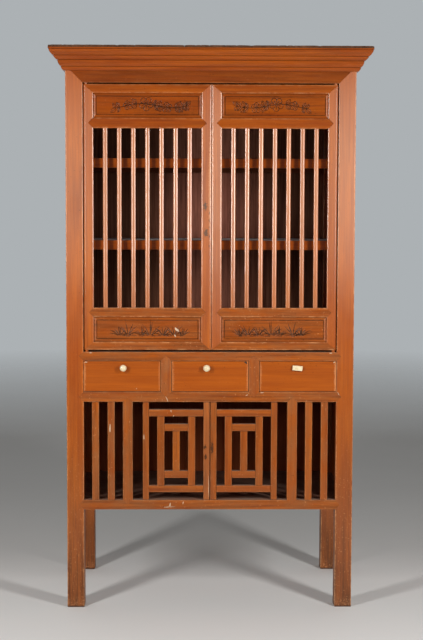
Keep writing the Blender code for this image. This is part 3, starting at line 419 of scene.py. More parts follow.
# Heights above the floor between which the dirt of the legs fades
LEG_FILM_FOOT = 0.05
LEG_STREAK_FOOT = 0.02
LEG_CHIPS = (0.80, 0.30)
FOOT_SCUFFS = (0.040, 0.008)
FOOT_EDGE = (0.008, 0.002)
# How far the corner grime found by ambient occlusion, partly painted shade, reaches out of a corner, and how
# deep each surface is uneven
LACQUER_CORNER = 0.007
DRY_CORNER = 0.012
IVORY_CORNER = 0.004
LACQUER_WAVE = 0.0009
DRY_GRAIN = 0.0008
IVORY_GRAIN = 0.0003
FLAKE_GRAIN = 0.0004


def dirty_leg(made, wood, reach, streak):
    """Give a leg's colour with dark streaks and chipped arrises, more of them towards the floor."""
    low = made.spread(made.tall, 0.7 * reach, LEG_STREAK_FOOT)
    wood = made.tint(made.times(low, made.spread(streak, 0.40, 0.62, 0.22, 0.78)), wood, made.colours.grime_and_shade)
    prone = made.times(made.attribute("arris"), 0.16)
    chips = made.spread(made.plus(made.noise("chips"), prone), 0.64, 0.69)
    share = made.times(chips, made.spread(made.tall, *LEG_CHIPS, 0.0, 0.7))
    return made.tint(share, wood, made.colours.worn)


def scuffed_foot(made, wood):
    """Give a leg's colour with scuffs at the foot and a dark edge on the floor."""
    scuffs = made.times(made.spread(made.tall, *FOOT_SCUFFS), made.pattern("scuffs", 0.0, 0.7))
    wood = made.tint(scuffs, wood, made.colours.worn)
    return made.tint(made.spread(made.tall, *FOOT_EDGE, 0.0, 0.85), wood, made.colours.grime_and_shade)


def lacquer(name, axis, spots=(), veil=0.06, shade=0.0, plain=0.2, pale=0.0, soot_and_shade=0.0, streaks=0.0, legs=0.0,
            wear=0.6, carved=False, shine=0.5, polish=0.25, uneven=0.3):
    """Old orange-brown lacquer over straight grain.

    On the wood, shade darkens; soot darkens towards the grime colour, and on the top rail it stands for
    painted shade under the crown as well as a darker rail; pale lightens, plain evens out the grain, streaks
    are dark lines, and legs is the height up to which a post is dirty. On the lacquer, veil is a dull film,
    wear rubs the arrises, shine and polish are the gloss of the lacquer and of the wax on it, and uneven is
    its waviness.
    """
    made = Finish(name)
    colours = made.colours
    wood, height = made.grain(axis, colours.lacquer_dark, colours.lacquer_light)
    wood = made.tint(made.pattern("red patches", 0.0, 0.4, axis), wood, colours.lacquer_red)
    even = tuple((one + two) / 2 for one, two in zip(colours.lacquer_dark, colours.lacquer_light))
    wood = made.tint(plain, wood, even)
    wood = made.tint(made.spread(made.chance, 0.0, 1.0, shade, shade + 0.16), wood, colours.lacquer_dark)
    wood = made.tint(pale, wood, colours.worn)
    wood = made.tint(soot_and_shade, wood, colours.grime_and_shade)
    cloud = made.noise("clouds", axis)
    film = made.spread(cloud, 0.32, 0.66, 0.1 * veil, 2.0 * veil)
    if legs:
        film = made.plus(film, made.spread(made.tall, legs, LEG_FILM_FOOT, 0.0, 0.26))
    wood = made.tint(film, wood, colours.veil)
    streak = made.noise("dark streaks", axis)
    wood = made.tint(made.spread(streak, 0.42, 0.66, 0.0, streaks), wood, colours.grime_and_shade)
    if legs:
        wood = dirty_leg(made, wood, legs, streak)
    rubs = made.times(made.attribute("arris"), made.pattern("rubs", 0.05, wear))
    wood = made.tint(rubs, wood, colours.worn)
    wood = made.tint(made.pattern("flecks", 0.0, min(1.0, 1.8 * veil)), wood, colours.worn)
    # Corner grime found by ambient occlusion, partly painted shade; the dark pits are real marks.
    dirt = made.times(made.corners(LACQUER_CORNER), 0.55)
    wood = made.tint(made.calc("MAXIMUM", dirt, made.pattern("pits", 0.0, 0.7)), wood, colours.grime_and_shade)
    for spot in spots:
        wood = made.spotted(wood, *spot)
    if legs:
        wood = scuffed_foot(made, wood)
    if carved:
        rubbed_in = made.times(made.attribute("carved"), made.pattern("pigment", 0.5, 1.0))
        wood = made.tint(rubbed_in, wood, colours.pigment)
    dust = made.times(made.looking_up(), made.spread(cloud, 0.30, 0.62, 0.25, 0.85))
    made.set(Base_Color=made.tint(dust, wood, colours.dust))
    dull = made.times(made.plus(film, dust), 0.35)
    made.set(Roughness=made.plus(made.pattern("gloss", 0.30, 0.42), dull))
    made.set(Specular_IOR_Level=shine, Specular_Tint=AMBER)
    made.set(Coat_Weight=made.spread(film, 0.0, 0.5, polish, 0.1 * polish), Coat_Roughness=0.2)
    made.fibres(axis, 0.9)
    made.bump(made.plus(made.times(height, 0.35), made.noise("waves", axis)), uneven, LACQUER_WAVE)
    return made.material


# Where painted light makes the back behind the slats paler: middle, height, half width and half height
BACK_MIDDLE = 0.02
BACK_LIT_PATCH = (BACK_MIDDLE, 1.38, 0.26, 0.66)
# Where the painted shade at the back's sides starts and ends, from the middle out and by height, and where
# the back turns darker and redder towards the bottom
BACK_SIDES = (0.19, 0.31)
BACK_ENDS = (0.43, 0.36)
BACK_ABOVE = (0.80, 0.92)
BACK_BELOW = (0.95, 0.75)


def paint_back_light_and_shade(made, wood, height):
    """Give the back's colour: painted light pales its middle, painted shade darkens its sides, and it turns
    darker and redder behind the pots.
    """
    middle = made.spread(made.away(*BACK_LIT_PATCH), 1.0, 0.1, 0.0, 0.66)
    ridges = made.spread(height, 0.40, 0.56, 0.5, 1.3)
    wood = made.tint(made.times(middle, ridges), wood, made.colours.back_lit_middle)
    aside = made.away(BACK_MIDDLE, 0.0, 1.0, math.inf)
    sides = made.times(made.spread(aside, *BACK_SIDES, 0.0, 0.55), made.spread(aside, *BACK_ENDS))
    above = made.spread(made.tall, *BACK_ABOVE)
    wood = made.tint(made.times(above, sides), wood, made.colours.grime_and_shade)
    return made.tint(made.spread(made.tall, *BACK_BELOW, 0.0, 0.7), wood, made.colours.lacquer_dark)


def dry_wood(name, axis, tone, dusty, sheen=0.0, lit_middle_shaded_sides=False):
    """Wood without lacquer: stained, bare or weathered, with dust on what looks up."""
    made = Finish(name)
    dark, light = (getattr(made.colours, f"{tone}_{grain}") for grain in ("dark", "light"))
    wood, height = made.grain(axis, dark, light)
    wood = made.tint(made.pattern("dark patches", 0.0, 0.55, axis), wood, dark)
    # Painted light and shade on the back behind the slats.
    if lit_middle_shaded_sides:
        wood = paint_back_light_and_shade(made, wood, height)
    # Corner grime found by ambient occlusion, partly painted shade.
    wood = made.tint(made.times(made.corners(DRY_CORNER), 0.6), wood, made.colours.grime_and_shade)
    dust = made.times(made.looking_up(), made.pattern("dust", 0.35 * dusty, dusty))
    made.set(Base_Color=made.tint(dust, wood, made.colours.dust))
    made.set(Roughness=made.pattern("dry gloss", 0.58, 0.78), Specular_IOR_Level=0.2, Specular_Tint=AMBER)
    made.set(Sheen_Weight=sheen, Sheen_Roughness=0.4)
    made.bump(height, 0.40, DRY_GRAIN)
    return made.material


def ivory(name):
    """Polished ivory-coloured pulls, yellowed in places."""
    made = Finish(name)
    line = made.noise("ivory lines", X)
    patch = made.pattern("ivory patches")
    tone = made.plus(made.times(patch, 0.55), made.spread(line, 0.45, 0.7, 0.0, 0.3))
    bone = made.tint(tone, made.colours.ivory, made.colours.ivory_shade)
    # The pull darkens where ambient occlusion finds a corner: grime and painted shade.
    bone = made.tint(made.times(made.corners(IVORY_CORNER), 0.7), bone, made.colours.grime_and_shade)
    made.set(Base_Color=bone, Roughness=made.spread(patch, 0.0, 1.0, 0.24, 0.36), Coat_Weight=0.2)
    made.bump(line, 0.12, IVORY_GRAIN)
    return made.material


def flaked(name, tone):
    """Bare wood or dirt where the lacquer is gone."""
    made = Finish(name)
    seen = getattr(made.colours, tone)
    darker = tuple(0.45 * channel for channel in seen)
    patch = made.pattern("bare patches", 0.0, 0.55)
    made.set(Base_Color=made.tint(patch, seen, darker), Roughness=made.spread(patch, 0.0, 0.6, 0.6, 0.85))
    made.bump(patch, 0.3, FLAKE_GRAIN)
    return made.material


# Finishes
POLISHED = {"polish": 0.65, "wear": 0.35, "uneven": 0.15}
BARRED = {"veil": 0.20, "wear": 0.25, "polish": 0.15, "streaks": 0.30, "soot_and_shade": 0.06}
CARVED = {"carved": True, "polish": 0.10, "shine": 0.35, "streaks": 0.40}
DRAWN = {"veil": 0.03, "plain": 0.5}

LACQUERS = {
    "lacquer": {},
    "lacquer_lining": {"veil": 0.0, "wear": 0.1, "polish": 0.0, "shine": 0.1},
    # Painted shade: the shelf lips are darker for their place inside, behind the slats.
    "lacquer_lip": {"veil": 0.0, "shade": 0.4, "wear": 0.1, "polish": 0.0},
    "lacquer_legs_front_left": {"legs": 0.85, "shine": 0.60},
    "lacquer_legs_front_right": {"legs": 0.85, "shine": 0.85},
    "lacquer_legs_rear_left": {"legs": 0.40, "shine": 0.60},
    "lacquer_legs_rear_right": {"legs": 0.40, "shine": 0.85},
    # The top rail under the crown is darker: partly painted shade under the crown, partly a darker rail.
    "lacquer_sooty": {
        "shade": 0.35, "soot_and_shade": 0.22, "wear": 0.2, "polish": 0.0, "plain": 0.0, "streaks": 0.4,
    },
    "lacquer_crown": {"shade": 0.24, "wear": 0.4, "polish": 0.1, "plain": 0.0, "streaks": 0.26},
    "lacquer_low": {"veil": 0.24, "shade": 0.08, "polish": 0.2, "streaks": 0.4},
    "lacquer_dull": {"veil": 0.28, "wear": 0.3, "polish": 0.1, "streaks": 0.4},
    "lacquer_bars": {"veil": 0.28, "wear": 0.3, "polish": 0.1, "streaks": 0.15},
    "lacquer_dusty": {"veil": 0.34, "wear": 0.3, "polish": 0.1, "streaks": 0.3, "soot_and_shade": 0.04},
    "lacquer_polished": {**POLISHED, "shine": 0.52},
    "lacquer_handled_left": {**POLISHED, "shine": 0.60},
    "lacquer_handled_right": {**POLISHED, "shine": 0.95},
    "lacquer_slat": {"polish": 1.0, "uneven": 0.08, "wear": 0.15, "shine": 0.6, "pale": 0.15},
    "lacquer_top_panel": {**CARVED, "veil": 0.06, "shade": 0.39},
    "lacquer_bottom_panel": {**CARVED, "veil": 0.20, "shade": 0.25},
    "lacquer_lattice": BARRED,
    "lacquer_touched_left": {**BARRED, "pale": 0.12},
    "lacquer_touched_right": BARRED,
    "lacquer_drawer_left": DRAWN,
    "lacquer_drawer_middle": DRAWN,
    "lacquer_drawer_right": DRAWN,
}
DRY_WOODS = {
    "inside": {"tone": "inside", "dusty": 0.55},
    # The back behind the slats carries painted light in its middle and painted shade at its sides.
    "back_inside": {"tone": "back", "dusty": 0.55, "lit_middle_shaded_sides": True},
    "shelf": {"tone": "inside", "dusty": 0.80, "sheen": 0.12},
    "roof": {"tone": "roof", "dusty": 0.80},
    "raw": {"tone": "raw", "dusty": 0.85},
    "bare": {"tone": "bare", "dusty": 0.25},
}
FLAKES = {"flake": "flake", "dirt": "stain"}


def material(kind, axis=Z, spots=()):
    """Give a finish for a grain direction, made on its first use."""
    name = f"{kind}_{AXIS_NAMES[axis]}"
    found = bpy.data.materials.get(name)
    if found:
        return found
    if kind in DRY_WOODS:
        return dry_wood(name, axis, **DRY_WOODS[kind])
    if kind in FLAKES:
        return flaked(name, FLAKES[kind])
    if kind == "ivory":
        return ivory(name)
    return lacquer(name, axis, spots, **LACQUERS[kind])


# Shapes
SMOOTH_ANGLE = math.radians(34)
FLAT_ANGLE = math.radians(0.5)
ROUND_STEPS = 3
FINE_STEPS = 4
EASE_STEPS = 4
EASE_BEND = 1.5


def node_copy(node):
    """Give a working copy of a frame node's shape, welded and with its flat faces made whole."""
    work = bmesh.new()
    work.from_mesh(NODES[node].data)
    bmesh.ops.remove_doubles(work, verts=work.verts, dist=TINY)
    bmesh.ops.dissolve_limit(work, angle_limit=FLAT_ANGLE, verts=work.verts, edges=work.edges)
    return work


def block(low, high):
    """Give a box between two corners."""
    work = bmesh.new()
    bmesh.ops.create_cube(work, size=1.0)
    bmesh.ops.scale(work, vec=[b - a for a, b in zip(low, high)], verts=work.verts)
    bmesh.ops.translate(work, vec=[(a + b) / 2 for a, b in zip(low, high)], verts=work.verts)
    return work


def loft(rings):
    """Give the closed shape through a row of like outlines."""
    work = bmesh.new()
    rows = [[work.verts.new(point) for point in ring] for ring in rings]
    work.faces.new(rows[0])
    work.faces.new(reversed(rows[-1]))
    for near, far in zip(rows[:-1], rows[1:]):
        for number in range(len(near)):
            following = (number + 1) % len(near)
            work.faces.new((near[following], near[number], far[number], far[following]))
    bmesh.ops.recalc_face_normals(work, faces=work.faces)
    return work


def upright(outline, low, high):
    """Give the shape of a level outline between two heights."""
    return loft([[(x, y, z) for x, y in outline] for z in (low, high)])


def extent(work):
    """Give the lowest and highest corner of a shape."""
    places = np.array([vert.co[:] for vert in work.verts])
    return places.min(0), places.max(0)


def grain_axis(work):
    """Give the axis along which a piece is longest."""
    low, high = extent(work)
    return int(np.argmax(high - low))


def arrises(work, axis):
    """Give the edges along an axis at the shape's outside corners."""
    low, high = extent(work)
    others = [number for number in (X, Y, Z) if number != axis]
    found = []
    for edge in work.edges:
        one, two = (vert.co for vert in edge.verts)
        straight = all(abs(one[k] - two[k]) < TINY for k in others)
        if straight and all(min(abs(one[k] - low[k]), abs(one[k] - high[k])) < TINY for k in others):
            found.append(edge)
    return found


def front_edges(work):
    """Give the long edges at the front of a shape, and those at its back."""
    found = arrises(work, grain_axis(work))
    front = extent(work)[0][Y] + TINY
    ahead = [edge for edge in found if edge.verts[0].co.y < front]
    return ahead, [edge for edge in found if edge not in ahead]


def arris_layer(work):
    """Give the layer that tells how much each face is rubbed."""
    layers = work.faces.layers.float
    return layers.get("arris") or layers.new("arris")


def bevelled(work, edges, width, segments):
    """Bevel some edges and give the new faces and corners."""
    return bmesh.ops.bevel(
        work, geom=edges, offset=width, offset_type="OFFSET", segments=segments, profile=0.5, affect="EDGES",
        clamp_overlap=False,
    )


def rounded(work, edges, width, segments=ROUND_STEPS):
    """Round some edges and mark the new faces as arrises."""
    layer = arris_layer(work)
    if edges:
        for face in bevelled(work, edges, width, segments)["faces"]:
            face[layer] = 1.0
    return work


def eased(work, edges, width, fall):
    """Ease long front edges into shallow flanks, rubbed more and more towards the corner."""
    low, high = extent(work)
    layer = arris_layer(work)
    across = X if grain_axis(work) == Z else Z
    made = bevelled(work, edges, width, EASE_STEPS)

    def slope(place):
        """Give how near a place is to the corner, from 0 on the face to 1."""
        away = min(place[across] - low[across], high[across] - place[across])
        return 1.0 - min(max(away / width, 0.0), 1.0)

    for vert in made["verts"]:
        vert.co.y = low[Y] + fall * slope(vert.co) ** EASE_BEND
    for face in made["faces"]:
        face[layer] = slope(face.calc_center_median())
    return work


def rubbed(work, share, test):
    """Mark the faces that a test picks as rubbed by hands, by a share."""
    layer = arris_layer(work)
    for face in work.faces:
        if test(face.normal):
            face[layer] = share
    return work


def without(work, low, high):
    """Take a box out of a shape."""
    things = []
    for shape in (work, block(low, high)):
        mesh = bpy.data.meshes.new("cut")
        shape.to_mesh(mesh)
        shape.free()
        things.append(bpy.data.objects.new("cut", mesh))
        COLLECTION.objects.link(things[-1])
    step = things[0].modifiers.new("cut", "BOOLEAN")
    step.object = things[1]
    step.operation = "DIFFERENCE"
    seen = things[0].evaluated_get(bpy.context.evaluated_depsgraph_get())
    left = bmesh.new()
    left.from_mesh(seen.to_mesh())
    seen.to_mesh_clear()
    for thing in things:
        bpy.data.objects.remove(thing)
    return left


def pointed(start, end, low, high, front, back):
    """Give a lying bar with a point at each end."""
    tip = (high - low) / 2
    middle = (low + high) / 2
    outline = [(start, low), (end, low), (end + tip, middle)]
    outline += [(end, high), (start, high), (start - tip, middle)]
    return loft([[(x, y, z) for x, z in outline] for y in (front, back)])


def shown(name, work, kind, body, nodes=(), axis=None, spots=(), lined=None):
    """Turn a shape into a piece that rides on a body and stands for frame nodes.

    lined holds a second finish and a test that picks the faces which have it.
    """
    axis = grain_axis(work) if axis is None else axis
    mesh = bpy.data.meshes.new(name)
    work.to_mesh(mesh)
    work.free()
    if "custom_normal" in mesh.attributes:
        mesh.attributes.remove(mesh.attributes["custom_normal"])
    mesh.materials.clear()
    mesh.materials.append(material(kind, axis, spots))
    mesh.shade_smooth()
    mesh.set_sharp_from_angle(angle=SMOOTH_ANGLE)
    mesh.polygons.foreach_set("material_index", [0] * len(mesh.polygons))
    thing = bpy.data.objects.new(name, mesh)
    COLLECTION.objects.link(thing)
    if lined:
        lining, inside = lined
        mesh.materials.append(material(lining, axis))
        for face in mesh.polygons:
            face.material_index = int(inside(face.normal))
    flatten = thing.modifiers.new("flat_faces", "WEIGHTED_NORMAL")
    flatten.keep_sharp = True
    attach(thing, body)
    if nodes:
        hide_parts(*nodes)
    return thing


def dressed(node, kind, width, segments=ROUND_STEPS, ease=None, **more):
    """Round a node's long edges, or ease its front ones, and show it."""
    work = node_copy(node)
    if ease:
        rounded(work, front_edges(work)[1], width, segments)
        eased(work, front_edges(work)[0], *ease)
    else:
        rounded(work, arrises(work, grain_axis(work)), width, segments)
    return shown(f"finished_{node}", work, kind, NODES[node]["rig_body"], [node], **more)


def bar(name, low, high, width, kind, body, nodes):
    """Show a straight bar with rounded long edges."""
    work = block(low, high)
    rounded(work, arrises(work, grain_axis(work)), width)
    return shown(name, work, kind, body, nodes)


# Carcass
def make_posts(sizes):
    """Four posts, dirty towards the feet."""
    for depth, ease in (("front", (sizes.post_ease, sizes.post_fall)), ("rear", None)):
        for side, _ in SIDES:
            kind = f"lacquer_legs_{depth}_{side}"
            dressed(f"post_{depth}_{side}", kind, sizes.post_arris, FINE_STEPS, ease)


def make_rails(sizes):
    """Front and side rails, and the bare ones at the rear."""
    # The top rail's darker finish is partly painted shade under the crown.
    dressed("top_rail_front", "lacquer_sooty", sizes.rail_arris)
    for node in ("bottom_rail_front", "drawer_rail", "waist_rail"):
        dressed(node, "lacquer_dull", sizes.rail_arris)
    for side, _ in SIDES:
        for level in ("bottom", "top"):
            dressed(f"{level}_rail_{side}", "lacquer_dull", sizes.rail_arris)
    for node in ("bottom_rail_rear", "rear_drawer_board", "top_rail_rear"):
        dressed(node, "raw", sizes.rail_arris)


def make_uprights(sizes):
    """Drawer dividers, and the mullions and thin bars of the pot store, dustier on the left."""
    for side, _ in SIDES:
        dressed(f"drawer_divider_{side}", "lacquer_bars", sizes.bar_arris)
        kind = "lacquer_dusty" if side == "left" else "lacquer_bars"
        for name in ("mullion", "thin_bar_outer", "thin_bar_inner"):
            dressed(f"{name}_{side}", kind, sizes.bar_arris)


# Crown and roof
CROWN_LIP = (0.0040, 0.0515)
# Each bead under the lip: its height, and how far it stands out at its top and at its foot
CROWN_BEADS = (
    (0.0200, 0.0500, 0.0375),
    (0.0137, 0.0360, 0.0245),
    (0.0200, 0.0230, 0.0145),
    (0.0135, 0.0130, 0.0060),
)
BEAD_SWELL = 0.36
BEAD_STEPS = 12


def crown_section(sizes, post, top, low, lap):
    """Give the crown's section as (distance out from the body, height), with a groove over each bead."""
    tall, out = CROWN_LIP
    height = top - tall
    points = [(-post, lap), (-post, top), (out, top), (out, height)]
    for tall, upper, lower in CROWN_BEADS:
        start = height - sizes.crown_groove
        end = height - tall
        points += [(upper - sizes.crown_sink, height), (upper - sizes.crown_sink, start)]
        for step in range(BEAD_STEPS + 1):
            share = step / BEAD_STEPS
            swell = BEAD_SWELL * share * (1 - share)
            across = upper + (lower - upper) * share + (start - end) * swell
            points.append((across, start + (end - start) * share + (lower - upper) * swell))
        height = end
    return points + [(sizes.joint_gap, low), (sizes.joint_gap, lap)]


def make_crown(sizes):
    """The crown moulding, mitred at the front corners."""
    low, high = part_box("crown_front")
    post_low, post_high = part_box("post_front_left")
    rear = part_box("crown_left")[1].y
    half = -post_low.x
    gap = sizes.joint_gap
    section = crown_section(sizes, post_high.x - post_low.x, high.z, low.z, post_high.z + gap)
    ends = [[(way * (half + out - gap), FRONT - out, z) for out, z in section] for _, way in SIDES]
    shown("finished_crown_front", loft(ends), "lacquer_crown", "carcass", ["crown_front"])
    for side, way in SIDES:
        near = [(way * (half + out), FRONT - out, z) for out, z in section]
        far = [(way * (half + out), rear, z) for out, z in section]
        node = f"crown_{side}"
        shown(f"finished_{node}", loft([near, far]), "lacquer_crown", "carcass", [node])


ROOF_JOINTS = (-0.309, -0.088, 0.133, 0.356)
ROOF_STEP = 0.004
ROOF_RIM = 0.014
ROOF_SEED = 7
RAGGED_SPAN = 5
RAGGED_FALL = 0.22
RAGGED_REACH = 0.0012
CHIP_BAR = 0.93
CHIP_FALL = 0.6
CHIP_REACH = 0.5
NICK_LENGTH = 0.0035
EDGE_LEAN = 0.0005
BOARD_LIFT = 0.0006


def make_roof(sizes):
    """Five weathered roof boards with chipped front edges."""
    low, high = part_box("roof")
    chance = np.random.default_rng(ROOF_SEED)
    ends = [low.x - sizes.roof_gap / 2, *ROOF_JOINTS, high.x + sizes.roof_gap / 2]
    for number, (left, right) in enumerate(zip(ends[:-1], ends[1:])):
        start = left + sizes.roof_gap / 2
        end = right - sizes.roof_gap / 2
        along = np.linspace(start, end, int((end - start) / ROOF_STEP))
        count = len(along)
        ragged = np.convolve(chance.random(count), np.ones(RAGGED_SPAN) / RAGGED_SPAN, "same")
        chips = np.where(chance.random(count) > CHIP_BAR, chance.uniform(0.2, 0.7, count), 0.0)
        nick = np.exp(-np.minimum(along - start, end - along) / NICK_LENGTH) * chance.uniform(0.5, 1.0)
        drop = np.minimum(RAGGED_FALL * ragged + CHIP_FALL * chips + nick, 1.0) * sizes.roof_chip
        edge = low.y + RAGGED_REACH * ragged + CHIP_REACH * drop
        crest = high.z - chance.uniform(0.0, BOARD_LIFT)
        rings = []
        for x, y, fall in zip(along, edge, drop):
            section = [(y, low.z), (y + EDGE_LEAN, crest - fall), (low.y + ROOF_RIM, crest)]
            section += [(high.y, crest), (high.y, low.z)]
            rings.append([(x, depth, z) for depth, z in section])
        shown(f"roof_board_{number + 1}", loft(rings), "roof", "carcass", ["roof"], axis=Y)


# Boards and panels
BACK_BOARDS = 5
FACING = 0.5
LONG_EDGE = 0.1


def make_panels(sizes):
    """Side panels, lacquered outside and lined with a plainer lacquer inside, and the upright boards of the
    back.
    """
    for side, way in SIDES:
        lined = ("lacquer_lining", lambda normal, way=way: normal.x * way < -FACING)
        dressed(f"side_panel_{side}", "lacquer", sizes.board_arris, lined=lined)
    low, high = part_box("back_panel")
    wide = (high.x - low.x) / BACK_BOARDS
    middle = (low.y + high.y) / 2
    lined = ("back_inside", lambda normal: normal.y < -FACING)
    for number in range(BACK_BOARDS):
        left_gap, left_lap = (sizes.back_gap / 2, sizes.back_lap) if number else (0.0, 0.0)
        last = number == BACK_BOARDS - 1
        right_gap, right_lap = (0.0, 0.0) if last else (sizes.back_gap / 2, sizes.back_lap)
        left = low.x + number * wide + left_gap
        right = low.x + (number + 1) * wide - right_gap
        front_step = middle - sizes.back_gap / 2
        rear_step = middle + sizes.back_gap / 2
        outline = [(left, low.y), (right, low.y), (right, rear_step), (right + right_lap, rear_step)]
        outline += [(right + right_lap, high.y), (left + left_lap, high.y)]
        outline += [(left + left_lap, front_step), (left, front_step)]
        board = upright(outline, low.z, high.z)
        long = [edge for edge in arrises(board, Z) if edge.calc_length() > LONG_EDGE]
        rounded(board, long, sizes.board_arris)
        shown(f"back_board_{number + 1}", board, "raw", "carcass", ["back_panel"], lined=lined)


def make_boards(sizes):
    """Floors and drawer bed."""
    for node in ("bottom_board", "waist_board", "drawer_bed"):
        dressed(node, "inside", sizes.board_arris)


def make_shelves(sizes):
    """Two shelves, each a board notched round the posts, on a lacquered front lip and a plain rear lip."""
    near_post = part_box("post_front_left")[1]
    far_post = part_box("post_rear_left")[0]
    notch = sizes.board_notch
    narrow = -near_post.x - notch
    end = narrow - sizes.shelf_step
    for node in ("lower_shelf", "upper_shelf"):
        low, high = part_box(node)
        under = high.z - sizes.shelf_board
        rest = under - sizes.joint_gap
        crest = high.z - sizes.shelf_step
        back = low.y + sizes.shelf_lip
        rebate = back - sizes.shelf_rest
        corners = [
            (narrow, rebate + sizes.joint_gap), (narrow, near_post.y + notch), (high.x, near_post.y + notch),
            (high.x, far_post.y - notch), (narrow, far_post.y - notch), (narrow, high.y),
        ]
        outline = corners + [(-x, y) for x, y in reversed(corners)]
        shown(f"{node}_board", upright(outline, under, high.z), "shelf", "carcass", [node], axis=X)
        section = [(low.y, low.z), (back, low.z), (back, rest)]
        section += [(rebate, rest), (rebate, crest), (low.y, crest)]
        lip = loft([[(x, y, z) for y, z in section] for x in (-end, end)])
        rounded(lip, arrises(lip, X), sizes.board_arris)
        shown(f"{node}_front_lip", lip, "lacquer_lip", "carcass", [node])
        start = (-end, high.y - sizes.shelf_step - sizes.shelf_lip, low.z)
        stop = (end, high.y - sizes.shelf_step, rest)
        bar(f"{node}_rear_lip", start, stop, sizes.board_arris, "inside", "carcass", [node])


# Upper doors
# Each spot: where its middle lies, half its width and height, its colour and its strength
HANDLED = (
    # The first spot, a pale strip along the meeting edge, is partly rubbed lacquer and partly a painted
    # highlight on the rounded edge.
    (-0.0036, 1.4200, 0.0040, 0.190, "worn", 0.4),
    (-0.0180, 1.3650, 0.0075, 0.016, "stain", 0.85),
    (-0.0150, 1.2749, 0.0080, 0.016, "stain", 0.85),
)


def door_clear(side):
    """Give the two sight edges of a door's stiles, from left to right."""
    boxes = [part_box(f"{stile}_{side}") for stile in ("hinge_stile", "meeting_stile")]
    (_, left), (right, _) = sorted(boxes, key=lambda box: box[0].x)
    return left.x, right.x


def make_mid_rails(sizes, side, ease):
    """The two rails with pointed ends over and under a door's slats, grooved for the carved panels."""
    node = f"grille_{side}"
    grille_low, grille_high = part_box(node)
    left, right = door_clear(side)
    gap = sizes.joint_gap
    play = Vector((gap, gap, gap))
    spans = (
        ("lower", grille_low.z, grille_low.z + sizes.lower_mid_rail, "bottom", "lacquer_low"),
        ("upper", grille_high.z - sizes.upper_mid_rail, grille_high.z, "top", "lacquer_crown"),
    )
    for level, low, high, panel, kind in spans:
        work = pointed(left + gap, right - gap, low, high, grille_low.y, grille_high.y)
        groove_low, groove_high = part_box(f"{panel}_panel_{side}")
        groove_low.y += sizes.field_rise
        work = without(work, groove_low - play, groove_high + play)
        rounded(work, front_edges(work)[1], sizes.stile_arris)
        eased(work, front_edges(work)[0], *ease)
        shown(f"{level}_mid_rail_{side}", work, kind, f"upper_{side}_door", [node])


def make_door_frames(sizes):
    """Stiles and rails of the upper doors."""
    ease = (sizes.stile_ease, sizes.stile_fall)
    for side, _ in SIDES:
        finishes = {
            "hinge_stile": "lacquer_polished",
            "meeting_stile": f"lacquer_handled_{side}",
            "door_top_rail": "lacquer_crown",
            "door_bottom_rail": "lacquer_low",
        }
        for name, kind in finishes.items():
            spots = HANDLED if kind == "lacquer_handled_left" else ()
            dressed(f"{name}_{side}", kind, sizes.stile_arris, ease=ease, spots=spots)
        make_mid_rails(sizes, side, ease)


SLAT_STEPS = 6
SLAT_TILT = (15.0, 26.0)
SLAT_EDGE = 0.0012
SLAT_RUB = 0.35


def slat_flank(start, end):
    """Give a slat's gently bowed flank and its small round edge, as (distance from the middle, depth)."""
    low, high = (math.radians(tilt) for tilt in SLAT_TILT)
    bow = (end - SLAT_EDGE - start) / (math.sin(high) - math.sin(low))
    bend = SLAT_EDGE / (1 - math.sin(high))
    curves = ((low, high, bow, SLAT_STEPS), (high, math.pi / 2, bend, SLAT_STEPS // 2))
    points = [(start, 0.0)]
    for first, last, radius, steps in curves:
        across, depth = points[-1]
        for step in range(1, steps + 1):
            tilt = first + (last - first) * step / steps
            out = across + radius * (math.sin(tilt) - math.sin(first))
            points.append((out, depth + radius * (math.cos(first) - math.cos(tilt))))
    return points


def make_slats(sizes):
    """Seven round-fronted slats in each upper door."""
    half = sizes.slat_width / 2
    flank = slat_flank(sizes.slat_flat / 2, half)
    for side, _ in SIDES:
        node = f"grille_{side}"
        grille_low, grille_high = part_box(node)
        left, right = door_clear(side)
        low = grille_low.z + sizes.lower_mid_rail - sizes.slat_root
        high = grille_high.z - sizes.upper_mid_rail + sizes.slat_root
        space = (right - left - sizes.slat_count * sizes.slat_width) / (sizes.slat_count + 1)
        front = grille_low.y + sizes.slat_set
        for number in range(sizes.slat_count):
            middle = left + space + half + number * (space + sizes.slat_width)
            section = [(middle + half, front + sizes.slat_depth), (middle - half, front + sizes.slat_depth)]
            section += [(middle - x, front + bow) for x, bow in reversed(flank)]
            section += [(middle + x, front + bow) for x, bow in flank]
            work = upright(section, low, high)
            rubbed(work, SLAT_RUB, lambda normal: normal.y < -0.25 and abs(normal.x) > 0.2)
            shown(f"slat_{side}_{number + 1}", work, "lacquer_slat", f"upper_{side}_door", [node])


# Carving
BOUGH_CUT = 0.0014
BLOSSOM_CUT = 0.0011
LEAF_CUT = 0.0009
STONE_CUT = 0.0008
LEAST_CUT = 0.0005
BRANCH_SEED = 11
BANK_SEED = 23
# Where each blossom sits along the bough, its size and its turn
BLOSSOMS = ((-0.42, 0.0170, 0.3), (0.02, 0.0230, 0.9), (0.40, 0.0150, 0.1))
PETALS = 5
LEAVES = 21
# Where each tuft grows along the bank and how tall it is
TUFTS = ((-0.74, 0.8), (-0.56, 1.15), (-0.33, 1.0), (-0.05, 1.3), (0.13, 0.85), (0.42, 1.2), (0.60, 0.9))
BLADES = 7
STONES = 24
BORDER_SET = 0.0006
SPRAY_MARGIN = (0.012, 0.006)


def turned(middle, across, up, turn):
    """Give points turned by an angle about a middle."""
    cosine, sine = math.cos(turn), math.sin(turn)
    return np.stack([middle[0] + across * cosine - up * sine, middle[1] + across * sine + up * cosine], 1)


def arc(middle, radius, start, end, squash=1.0, turn=0.0, steps=9):
    """Give points on an arc of a turned ellipse; its ends are shares of a full turn."""
    angles = np.linspace(start, end, steps) * math.tau
    return turned(middle, np.cos(angles) * radius, np.sin(angles) * radius * squash, turn)


